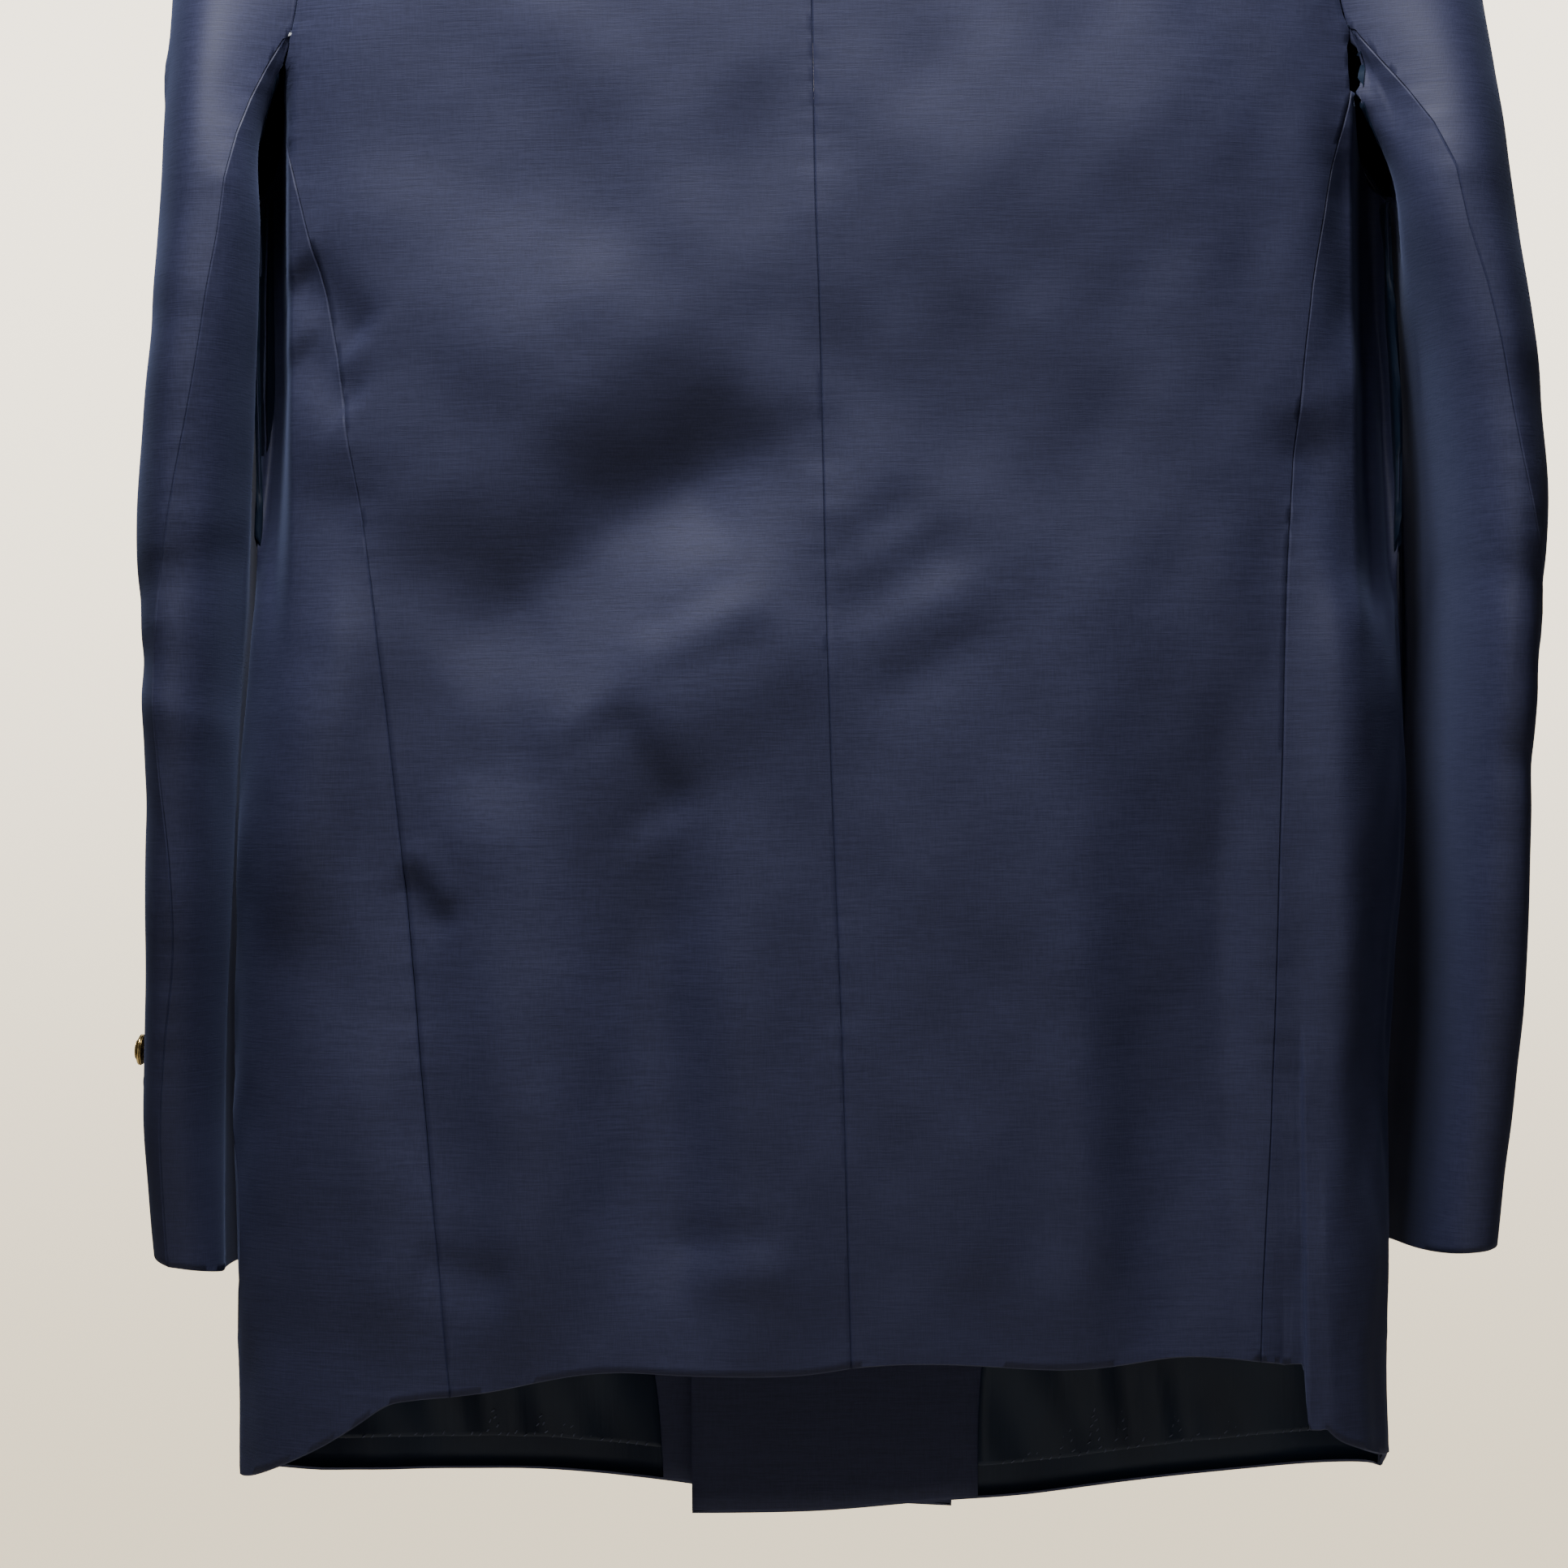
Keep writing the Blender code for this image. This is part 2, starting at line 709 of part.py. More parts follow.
def sleeve_turns(depth, side):
    """The turn of every column of a sleeve at that depth, from the elbow seam outwards and round."""
    start = float(ELBOW_SEAM.at(np.array([depth]), "left" if side > 0 else "right")[0])
    dense = np.linspace(start, start + 360, 721)
    line = section_point(dense, np.full(721, depth), side)
    steps = np.diff(line[:, :2], axis=0)
    heading = np.unwrap(np.arctan2(steps[:, 1], steps[:, 0]))
    bends = np.abs(np.gradient(heading))
    lengths = np.concatenate([[0], np.cumsum(np.hypot(*steps.T) + CURVE_WEIGHT * bends)])
    seam = float(np.interp(FOREARM_TURN, dense, lengths))
    top = np.linspace(0, seam, TOP_COLUMNS + 1)[:-1]
    under = np.linspace(seam, lengths[-1], UNDER_COLUMNS + 1)[:-1]
    return np.interp(np.concatenate([top, under]), lengths, dense)


def head_places(side):
    """Ways and depths of every column at the armhole, in the same order as the sections' turns."""
    way, depth = armhole_loop(side)
    line = body_point(way, depth)
    lengths = np.concatenate([[0], np.cumsum(np.linalg.norm(np.diff(line, axis=0), axis=1))])
    elbow = float(np.interp(182, depth[:80], lengths[:80]))
    forearm = float(np.interp(-205, -depth[-80:], lengths[-80:]))
    total = lengths[-1]
    over = np.linspace(elbow + total, forearm, TOP_COLUMNS + 1)[:-1] % total
    under = np.linspace(forearm, elbow, UNDER_COLUMNS + 1)[:-1]
    places = np.concatenate([over, under])
    return np.interp(places, lengths, way), np.interp(places, lengths, depth)


def sleeve_grid(side):
    """The sleeve's outer points and the way in from each, rows from the armhole to the cuff."""
    way, depth = head_places(side)
    edge = body_point(way, depth)
    cuff_depth, cuff_slant = (701.0, 5.0) if side > 0 else (698.0, 2.5)
    ring = section_point(sleeve_turns(HEAD_DEPTH, side), np.full(len(way), HEAD_DEPTH), side)
    reach = np.linalg.norm(ring - edge, axis=1)[:, None]
    centre = edge.mean(axis=0)
    away = unit((edge - centre) * (0, 1, 1))
    up = np.clip(away[:, 2:], 0, 1)
    sideways = 0.5 + 0.5 * up
    leave = unit(sideways * (side, 0, 0) + away * (0, 0.2, 0) - (0.85 - 0.85 * up) * (0, 0, 1))
    start = edge - away * SEAM_GAP + np.array([side * HEAD_GAP, 0, 0])
    rows = []
    for share in np.linspace(0, 1, SLEEVE_HEAD_ROWS + 1) ** 1.25:
        held = (1 - share) ** 3 * start
        out = 3 * (1 - share) ** 2 * share * (start + leave * reach * 0.26)
        drop = 3 * (1 - share) * share**2 * (ring + np.array([-0.03 * side, 0, 0.4]) * reach)
        rows.append(held + out + drop + share**3 * ring)
    for share in np.linspace(0, 1, SLEEVE_ROWS + 1)[1:]:
        level = HEAD_DEPTH + (cuff_depth - HEAD_DEPTH) * share
        turns = sleeve_turns(level, side)
        rows.append(section_point(turns, np.full(len(turns), level), side))
    points = np.stack(rows)
    points[-1, :, 2] += cuff_slant * np.sin(np.radians(turns))
    level = -NAPE_DROP - points[..., 2]
    girth = BODY.at(level, "back") + 4
    beside = np.clip(1 - (np.abs(points[..., 1]) / girth) ** ROUNDNESS, 0, 1) ** (1 / ROUNDNESS)
    clear = half_width(level, side) * beside + 2.5
    low = level > UNDERARM - 12
    low[0] = False
    points[..., 0] = np.where(low, side * np.maximum(side * points[..., 0], clear), points[..., 0])
    return points, grid_normals(points, round_it=True) * side


def make_sleeve(side, word):
    points, normals = sleeve_grid(side)
    closed = np.concatenate([points, points[:, :1]], axis=1)
    out = np.concatenate([normals, normals[:, :1]], axis=1)
    for name, first, last in (
        ("top_sleeve_" + word, 0, TOP_COLUMNS),
        ("under_sleeve_" + word, TOP_COLUMNS, TOP_COLUMNS + UNDER_COLUMNS),
    ):
        outer = drawn_in(closed[:, first : last + 1], SLEEVE_SEAM_GAP / 2)
        inner = outer - out[:, first : last + 1] * CLOTH
        wall(name, outer, inner, "wool")


def turned_button(name, radius, height, place, normal):
    """A domed metal button on a short shank, turned about its axis and set on the cloth."""
    foot = 0.28 * radius
    profile = [
        (0, height),
        (0.45 * radius, height * 0.96),
        (0.8 * radius, height * 0.78),
        (radius, height * 0.5),
        (radius * 0.94, height * 0.4),
        (foot, height * 0.36),
        (foot, 0),
        (0, 0),
    ]
    mesh = bpy.data.meshes.new(name)
    points = [(r * MM, 0, z * MM) for r, z in profile]
    mesh.from_pydata(points, [(i, i + 1) for i in range(len(points) - 1)], [])
    piece = new_object(name, mesh, "gold")
    screw = piece.modifiers.new("turn", "SCREW")
    screw.steps = screw.render_steps = 12
    screw.use_merge_vertices = True
    screw.merge_threshold = 0.00001
    facing = Vector(normal).to_track_quat("Z", "Y").to_matrix().to_4x4()
    piece.matrix_world = Matrix.Translation(Vector(place) * MM) @ facing


def make_front_buttons():
    for side, word in ((1, "left"), (-1, "right")):
        for row in range(3):
            depth = 385.0 + 100 * row
            way = front_way(side * 42.0, depth, 1.0)
            normal = body_normal(way, depth)
            place = body_point(way, depth) + normal * SEAM_GAP
            turned_button(f"front_button_{word}_{row + 1}", 10.5, 8.5, place, normal)


def cloth_point(turn, depth, side):
    """A point of the sleeve's flat-sided wall at that depth."""
    turns = sleeve_turns(depth, side)
    ring = section_point(turns, np.full(len(turns), depth), side)
    here = turns[0] + (turn - turns[0]) % 360
    return np.array([np.interp(here, turns, ring[:, axis]) for axis in range(3)])


def make_cuff_buttons(side, word):
    for row in range(4):
        depth = CUFF_BUTTONS["first"] + CUFF_BUTTONS["pitch"] * row
        turn = CUFF_BUTTONS["turn"] + CUFF_BUTTONS["turn_step"] * row
        if side < 0:
            turn = 128.0
        ahead = cloth_point(turn + 3, depth, side) - cloth_point(turn - 3, depth, side)
        down = cloth_point(turn, depth + 3, side) - cloth_point(turn, depth - 3, side)
        normal = unit(np.cross(ahead, down)) * side
        place = cloth_point(turn, depth, side) + normal * LAYER_GAP
        turned_button(f"cuff_button_{word}_{row + 1}", 6.6, 6.4, place, normal)


HANGER_REACH = 192.0
HANGER_RADIUS = 6.5
HANGER_DROP = 2.1
HOOK_WIRE = 2.0
HOOK_RADIUS = 22.0


def hanger_depth(x):
    """The depth of the hanger's middle line, under the shoulders and level in the middle."""
    under = ridge(x) + HANGER_RADIUS + CLOTH + HANGER_DROP
    level = -27.0
    return np.where(np.abs(x) > 60, under, level + (under - level) * smooth((np.abs(x) - 10) / 50))


def curve_object(name, points, radius, sides, finish):
    """A round bar along the points, its ends closed."""
    curve = bpy.data.curves.new(name, "CURVE")
    curve.dimensions = "3D"
    curve.bevel_depth = radius * MM
    curve.bevel_resolution = sides
    curve.use_fill_caps = True
    line = curve.splines.new("POLY")
    line.points.add(len(points) - 1)
    for spot, point in zip(line.points, points):
        spot.co = (*(np.asarray(point) * MM), 1)
    piece = bpy.data.objects.new(name, curve)
    curve.materials.append(material(finish))
    blazer.objects.link(piece)
    return piece


def make_hanger():
    x = np.linspace(-HANGER_REACH, HANGER_REACH, 27)
    points = [(a, 0, -NAPE_DROP - b) for a, b in zip(x, hanger_depth(x))]
    curve_object("hanger", points, HANGER_RADIUS, 3, "wood")
    top = -NAPE_DROP - float(hanger_depth(np.array([0.0]))[0]) + HANGER_RADIUS
    centre = -HOOK_RADIUS + HOOK_WIRE
    points = [(0, 0, top + 0.3), (0, 0, top + 9), (0.6, 0, top + 15)]
    for angle in range(-55, 206, 13):
        turn = math.radians(angle)
        points.append((HOOK_RADIUS * math.cos(turn), 0, centre + HOOK_RADIUS * math.sin(turn)))
    curve_object("hook", points, HOOK_WIRE, 2, "steel")


def make_blazer():
    for side, word in ((1, "left"), (-1, "right")):
        make_back(side, "back_" + word)
        make_side(side, "side_" + word)
        points, normals = make_front(side, "front_" + word)
        make_inside(points, normals, word)
        make_lapel(side, word)
        make_sleeve(side, word)
        make_cuff_buttons(side, word)
        make_flap("flap_" + word, side, (106.0, 224.0), (585.0, 638.0), 6.0, FLAP_GAP)
    make_flap("chest_welt", 1, (100.0, 190.0), (238.0, 260.0), -12.0, LAYER_GAP)
    make_collar()
    make_front_buttons()
    make_hanger()


make_blazer()
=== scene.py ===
# %% [markdown]
# A navy double-breasted blazer hangs with its back to us.
# A tailor cuts it from fine wool in pieces: two backs, two side panels, two fronts, and two pieces to
# each sleeve. We start from solids that already have the true size of every piece, and dress each one
# with thin cloth. The first cell loads those solids, counts them, and has a helper that measures how large
# one is.

# %% Load the cut pieces
import math

import bmesh
import bpy
import numpy as np
from mathutils import Matrix, Vector
from mathutils.kdtree import KDTree


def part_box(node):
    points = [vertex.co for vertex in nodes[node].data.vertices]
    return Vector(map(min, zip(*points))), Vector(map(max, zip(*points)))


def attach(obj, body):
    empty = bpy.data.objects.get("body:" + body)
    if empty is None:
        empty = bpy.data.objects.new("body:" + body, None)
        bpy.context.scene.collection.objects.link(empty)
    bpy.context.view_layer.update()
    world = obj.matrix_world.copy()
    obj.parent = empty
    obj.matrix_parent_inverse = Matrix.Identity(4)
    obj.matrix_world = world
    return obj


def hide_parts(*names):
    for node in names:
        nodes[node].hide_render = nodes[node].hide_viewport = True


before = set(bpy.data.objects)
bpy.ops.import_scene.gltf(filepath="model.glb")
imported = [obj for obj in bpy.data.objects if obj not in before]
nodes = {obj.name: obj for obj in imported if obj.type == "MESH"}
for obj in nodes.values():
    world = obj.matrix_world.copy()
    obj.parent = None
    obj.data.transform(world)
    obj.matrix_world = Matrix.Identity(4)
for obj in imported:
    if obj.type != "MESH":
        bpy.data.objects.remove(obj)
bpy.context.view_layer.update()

MM = 0.001
NAPE = -0.110
blazer = bpy.data.collections.new("blazer cloth")
bpy.context.scene.collection.children.link(blazer)
print("cut pieces:", len(nodes))

# %% [markdown]
# Blender's operators act on whatever is selected, so every step begins with an empty selection and
# one active object, which one helper sees to. Two more read and write all the points of a piece at
# once as an array, which is quick enough for sculpting by rule. Points are in metres, and the rules
# for them in millimetres: x towards the wearer's left, y towards the back, and the depth below the nape.

# %% Picking a piece and moving its points
def pick(piece):
    """Make this the only selected and the active object."""
    bpy.ops.object.select_all(action="DESELECT")
    piece.select_set(True)
    bpy.context.view_layer.objects.active = piece


def points_of(piece):
    found = np.empty(len(piece.data.vertices) * 3)
    piece.data.vertices.foreach_get("co", found)
    return found.reshape(-1, 3)


def measures_of(piece):
    """The points of a piece in millimetres, and their depths below the nape."""
    points = points_of(piece) / MM
    return points, NAPE / MM - points[:, 2]


def place_points(piece, points):
    piece.data.vertices.foreach_set("co", np.asarray(points).ravel())
    piece.data.update()


def finish_modifier(piece, kind, **settings):
    """Add a modifier, set it up and apply it."""
    pick(piece)
    modifier = piece.modifiers.new(kind, kind)
    for key, value in settings.items():
        setattr(modifier, key, value)
    bpy.ops.object.modifier_apply(modifier=modifier.name)


def soft_step(value):
    t = np.clip(value, 0, 1)
    return t * t * (3 - 2 * t)


# %% [markdown]
# Each solid is a closed wall, as thick as the cloth. We want only the face that shows, so that we can
# refine it and fold it as one sheet. The narrow faces round a wall's edge are easy to tell, because
# each has a side no longer than the cloth is thick. Without them the wall falls into two sheets. We
# keep the one that faces the way we ask for. Its triangles are pairs with every diagonal running the
# same way, so from one diagonal we can find all the others: in the triangle across any other edge, the
# diagonal starts at the corner that the first diagonal misses. Without diagonals we have even quads.

# %% Lift the outer sheet off a solid
SHORTEST_SIDE = 1.75 * MM


def grow_selection(shape, first):
    """The faces that are joined to the first one."""
    found = {first}
    edge_of_growth = [first]
    while edge_of_growth:
        face = edge_of_growth.pop()
        for edge in face.edges:
            for other in edge.link_faces:
                if other not in found:
                    found.add(other)
                    edge_of_growth.append(other)
    return found


def follow_diagonals(face, diagonal):
    """For every face, the edge that it shares with the other half of its quad."""
    chosen = {face: diagonal}
    edge_of_growth = [face]
    while edge_of_growth:
        face = edge_of_growth.pop()
        corner = next(vertex for vertex in face.verts if vertex not in chosen[face].verts)
        for edge in face.edges:
            for other in edge.link_faces:
                if other in chosen:
                    continue
                far = next(vertex for vertex in other.verts if vertex not in edge.verts)
                ends = {corner, far}
                if edge == chosen[face]:
                    chosen[other] = edge
                else:
                    chosen[other] = next(side for side in other.edges if set(side.verts) == ends)
                edge_of_growth.append(other)
    return chosen


def join_pairs(shape):
    """Dissolve the diagonals, trying each edge of one face as the first."""
    first = next(iter(shape.faces))
    tries = [follow_diagonals(first, edge) for edge in first.edges if len(edge.link_faces) == 2]
    best = min((set(chosen.values()) for chosen in tries), key=len)
    bmesh.ops.dissolve_edges(shape, edges=list(best), use_verts=False)


def lift_sheet(node, name, outward):
    """A copy of the side of a solid that faces outward, as quads. With no direction, the larger side."""
    piece = bpy.data.objects.new(name, nodes[node].data.copy())
    piece.data.materials.clear()
    blazer.objects.link(piece)
    pick(piece)
    bpy.ops.object.mode_set(mode="EDIT")
    bpy.ops.mesh.select_mode(type="FACE")
    bpy.ops.mesh.select_all(action="SELECT")
    bpy.ops.mesh.remove_doubles(threshold=0.00002)
    bpy.ops.mesh.select_all(action="DESELECT")
    shape = bmesh.from_edit_mesh(piece.data)
    for face in shape.faces:
        face.select = min(edge.calc_length() for edge in face.edges) < SHORTEST_SIDE
    bmesh.update_edit_mesh(piece.data)
    bpy.ops.mesh.delete(type="FACE")
    shape = bmesh.from_edit_mesh(piece.data)
    left = set(shape.faces)
    sides = []
    while left:
        sides.append(grow_selection(shape, next(iter(left))))
        left -= sides[-1]
    if outward:
        away = Vector(outward).normalized()
        kept = max(sides, key=lambda side: sum(face.calc_area() * face.normal.dot(away) for face in side))
    else:
        kept = max(sides, key=lambda side: sum(face.calc_area() for face in side))
    for face in shape.faces:
        face.select = face not in kept
    bmesh.update_edit_mesh(piece.data)
    bpy.ops.mesh.delete(type="FACE")
    shape = bmesh.from_edit_mesh(piece.data)
    join_pairs(shape)
    bmesh.update_edit_mesh(piece.data)
    bpy.ops.object.mode_set(mode="OBJECT")
    odd = sum(len(face.vertices) != 4 for face in piece.data.polygons)
    print(f"{name}: {len(piece.data.polygons)} faces from {len(sides)} sides, {odd} not quads")
    return piece


# %% [markdown]
# The folds are the character of worn cloth, so we list them one by one, each as a soft trough (a rise
# below zero) or ridge between two places. x is millimetres towards the wearer's left, and depth is
# millimetres below the nape. A fold fades over one distance above it and another below, because hung
# cloth drops sharply under a bulge and comes forward again slowly.

# %% The folds of the body
# x, depth, end x, end depth, rise, fade above, fade below
BACK_FOLDS = [
    (138, 438, 36, 366, -10.5, 28, 48),
    (62, 384, -4, 352, -2.4, 15, 24),
    (96, 478, 12, 444, 3.4, 32, 30),
    (86, 474, 62, 510, -3.2, 12, 26),
    (74, 440, 30, 412, -0.9, 8, 12),
    (70, 460, 18, 436, -1.0, 8, 12),
    (80, 448, 24, 424, 0.9, 10, 12),
    (-6, 406, -40, 382, -1.0, 8, 11),
    (-6, 430, -60, 398, -1.4, 9, 13),
    (-12, 446, -70, 414, 1.0, 9, 12),
    (-18, 470, -72, 436, -1.1, 9, 13),
    (160, 400, 128, 500, -4.5, 26, 30),
    (186, 430, 160, 600, -3.0, 22, 18),
    (134, 560, 120, 735, 3.0, 20, 18),
    (72, 500, 60, 740, -7.5, 22, 34),
    (34, 520, 24, 740, 4.0, 26, 24),
    (-66, 470, -76, 720, 3.4, 30, 34),
    (-164, 440, -168, 745, -9.5, 14, 38),
    (-108, 500, -112, 740, 3.0, 18, 18),
    (208, 396, 226, 560, 6.0, 20, 24),
    (196, 372, 214, 460, -3.0, 16, 20),
    (-226, 230, -229, 330, -6.0, 12, 12),
    (-205, 356, -228, 420, -4.0, 16, 16),
    (-213, 372, -217, 680, 8.0, 20, 14),
    (-229, 520, -231, 700, -2.0, 10, 10),
    (192, 600, 178, 735, 4.0, 18, 18),
    (214, 560, 208, 740, 2.4, 16, 16),
    (212, 292, 196, 308, -3.6, 13, 15),
    (212, 322, 198, 336, -2.4, 11, 13),
    (62, 690, 22, 684, -1.4, 9, 11),
    (54, 703, 16, 700, 1.1, 9, 10),
    (162, 698, 136, 704, -1.6, 10, 12),
    (168, 526, 154, 546, 1.2, 7, 8),
    (171, 540, 156, 558, -1.3, 7, 8),
    (170, 210, 60, 290, -4.0, 40, 44),
    (-40, 250, -150, 226, 3.4, 36, 42),
    (-10, 330, -120, 372, -3.2, 34, 40),
    (130, 318, 10, 268, 3.6, 34, 38),
    (24, 214, 10, 330, -3.4, 16, 20),
    (-66, 560, -100, 700, -2.4, 18, 20),
]
print("folds:", len(BACK_FOLDS))


def fold_height(x, depth, folds):
    """How far the folds lift or sink the cloth there, in millimetres."""
    rise = np.zeros_like(x)
    for x0, d0, x1, d1, height, above, below in folds:
        length = math.hypot(x1 - x0, d1 - d0)
        along = ((x1 - x0) / length, (d1 - d0) / length)
        s = (x - x0) * along[0] + (depth - d0) * along[1]
        down = ((x - x0) * along[1] - (depth - d0) * along[0]) * (1 if along[0] < 0 else -1)
        fade = np.where(down > 0, below, above)
        ends = soft_step((s + above) / (0.4 * length)) * soft_step((length + above - s) / (0.4 * length))
        rise += height * ends * np.exp(-((down / fade) ** 2))
    return rise


# %% [markdown]
# Between the big folds the cloth is never quite flat. A few slow waves, each with its own slant, give
# it the quiet unevenness of wool that has hung for a while. They are the same for both sides.

# %% The quiet waves of hanging wool
WAVES = [
    (0.0, 74, 0.9, 0.35),
    (0.7, 41, 2.3, 0.22),
    (-0.5, 53, 4.1, 0.25),
    (1.2, 29, 1.2, 0.12),
    (-1.1, 23, 5.2, 0.08),
]


def quiet_waves(x, depth):
    total = np.zeros_like(x)
    for slant, length, start, size in WAVES:
        turn = (x * math.cos(slant) + depth * math.sin(slant) * 0.6) / length * 2 * math.pi
        total += size * np.sin(turn + start + 0.6 * np.sin(depth / 61 + start))
    return total


def border_of(piece):
    """The numbers of the points on a sheet's border, and the border's edges as pairs of them."""
    mesh = piece.data
    edge_of_corner = np.empty(len(mesh.loops), int)
    mesh.loops.foreach_get("edge_index", edge_of_corner)
    uses = np.bincount(edge_of_corner, minlength=len(mesh.edges))
    ends = np.empty(len(mesh.edges) * 2, int)
    mesh.edges.foreach_get("vertices", ends)
    ends = ends.reshape(-1, 2)[uses == 1]
    return np.unique(ends), ends


def puckers(piece, points, depth):
    """Short ripples that the stitching draws up beside a seam."""
    numbers, _ = border_of(piece)
    tree = KDTree(len(numbers))
    for number in numbers:
        tree.insert(points[number], int(number))
    tree.balance()
    away = np.array([tree.find(point)[2] for point in points])
    ripple = np.sin(depth / 1.9 + 2.2 * np.sin(depth / 17)) * (0.5 + 0.5 * np.sin(depth / 31 + 1.3))
    return 0.16 * ripple * np.exp(-((away / 7) ** 2))


# %% [markdown]
# The body's section is a rounded oblong, and we push the cloth straight out from that. Only the back
# carries the listed folds, which fade out round the sides and near the shoulders. Beside each sleeve
# the side panel sinks in and leaves a deep, dark hollow under the arm.

# %% Push the body's cloth in and out
HALF_WIDTH = 244.0
HALF_DEPTH = 62.0
SQUARENESS = 2.3
# side, nearest x, width of its slope, top, bottom, how deep
HOLLOWS = ((1, 219, 11, 180, 320, 44), (-1, 224, 11, 120, 340, 34))
HOLLOW_HEAD = 40
HOLLOW_TAIL = 130


def hollow(x, depth):
    """How deep the side panels sink in beside the sleeves, in millimetres."""
    total = np.zeros_like(x)
    for side, start, slope, top, bottom, sink in HOLLOWS:
        down = soft_step((depth - top) / HOLLOW_HEAD)
        down *= soft_step((bottom + HOLLOW_TAIL - depth) / HOLLOW_TAIL)
        total += sink * down * soft_step((side * x - start) / slope)
    return total


def push_body(piece):
    points, depth = measures_of(piece)
    x, y = points[:, 0], points[:, 1]
    way_x = np.sign(x) * (np.abs(x) / HALF_WIDTH) ** SQUARENESS / HALF_WIDTH
    way_y = np.sign(y) * (np.abs(y) / HALF_DEPTH) ** SQUARENESS / HALF_DEPTH
    out = np.stack([way_x, way_y, np.zeros_like(x)], axis=1)
    out /= np.maximum(np.linalg.norm(out, axis=1, keepdims=True), 1e-9)
    behind = soft_step((y + 26) / 40)
    calm = soft_step((depth - 20) / 60)
    rise = behind * fold_height(x, depth, BACK_FOLDS) + quiet_waves(x + 3 * y, depth)
    rise += puckers(piece, points, depth)
    points += out * (calm * rise)[:, None]
    points[:, 1] -= hollow(x, depth) * soft_step((y - 2) / 24)
    place_points(piece, points * MM)


# %% [markdown]
# Low on the right, the side panel folds forward of the back in one crisp upright edge, and its hem
# drops there by an inch. Smoothing rounds that edge off, so we draw it sharp again.

# %% The crisp fold of the right side
FOLD_X = -199.0
FOLD_TOP = 590
FOLD_REACH = 9
FOLD_WIDTH = 1.6
NEIGHBOURS = 4


def sharpen_fold(piece):
    """Blend the cloth's levels and hems on the fold's two sides in one narrow step."""
    points, depth = measures_of(piece)
    x, y = points[:, 0], points[:, 1]
    behind = y > 20
    tree = KDTree(int(behind.sum()))
    for number in np.flatnonzero(behind):
        tree.insert((x[number], depth[number], 0), int(number))
    tree.balance()
    numbers, _ = border_of(piece)
    hem = numbers[(depth[numbers] > 700) & behind[numbers]]
    hem = hem[np.argsort(x[hem])]
    edges = (FOLD_X + FOLD_REACH, FOLD_X - FOLD_REACH)
    ends = np.interp(edges, x[hem], depth[hem])
    for number in np.flatnonzero(behind & (np.abs(x - FOLD_X) < FOLD_REACH) & (depth > FOLD_TOP)):
        crisp = soft_step((FOLD_X + FOLD_WIDTH / 2 - x[number]) / FOLD_WIDTH)
        levels = []
        for edge in edges:
            near = tree.find_n((edge, depth[number], 0), NEIGHBOURS)
            levels.append(sum(y[spot[1]] for spot in near) / NEIGHBOURS)
        even = (x[number] - edges[1]) / (2 * FOLD_REACH)
        share = soft_step((depth[number] - FOLD_TOP) / 40) * soft_step(min(even, 1 - even) * 9)
        level = levels[0] * (1 - crisp) + levels[1] * crisp
        new_hem = ends[0] * (1 - crisp) + ends[1] * crisp
        old_hem = np.interp(x[number], x[hem], depth[hem])
        points[number, 1] += (level - y[number]) * share
        points[number, 2] -= (new_hem - old_hem) * share * soft_step((depth[number] - 600) / 150)
    place_points(piece, points * MM)


# %% [markdown]
# A sleeve is a bent tube, so its folds are listed round the tube and down it. The turn is in degrees,
# 0 at the back and 90 at the outside of the arm. We measure the tube's own middle line first, and push
# straight out from that. The side that faces the body sinks away from the back and stays in shadow.

# %% The folds of the sleeves
# turn, depth, end turn, end depth, rise, fade above, fade below
SLEEVE_FOLDS = {
    "left": [
        (62, 214, 100, 222, -3.0, 8, 10),
        (40, 196, 70, 206, 1.6, 8, 10),
        (10, 300, 60, 330, -1.4, 12, 16),
        (-30, 396, 40, 430, -2.0, 10, 14),
        (0, 440, 70, 462, -1.8, 8, 12),
        (-20, 478, 44, 452, 1.6, 9, 12),
        (20, 500, 70, 530, -1.4, 9, 12),
        (24, 500, 12, 690, 1.8, 16, 16),
        (-24, 540, -14, 690, -1.8, 12, 12),
        (60, 560, 66, 640, -1.2, 10, 10),
    ],
    "right": [
        (50, 226, 96, 240, -1.8, 10, 14),
        (0, 330, 60, 372, -1.6, 12, 18),
        (-20, 410, 60, 432, -2.0, 10, 14),
        (10, 470, 80, 448, 1.5, 9, 12),
        (0, 486, 60, 512, -1.8, 8, 12),
        (30, 530, 40, 690, 1.6, 14, 16),
        (-16, 540, -10, 680, -1.8, 12, 12),
        (70, 580, 74, 680, -1.4, 10, 10),
    ],
}
# Millimetres of cloth to one degree of turn
ARC = 0.8
INNER_SINK = {"left": 14.0, "right": 28.0}


def middle_line(pieces):
    """Depths down a sleeve and the x and y of its middle there, in millimetres."""
    points = np.concatenate([measures_of(piece)[0] for piece in pieces])
    depth = NAPE / MM - points[:, 2]
    levels = np.linspace(depth.min() + 60, depth.max() - 12, 24)
    middles = []
    for level in levels:
        ring = points[np.abs(depth - level) < 12]
        middles.append((ring.min(axis=0) + ring.max(axis=0))[:2] / 2)
    return levels, np.array(middles)


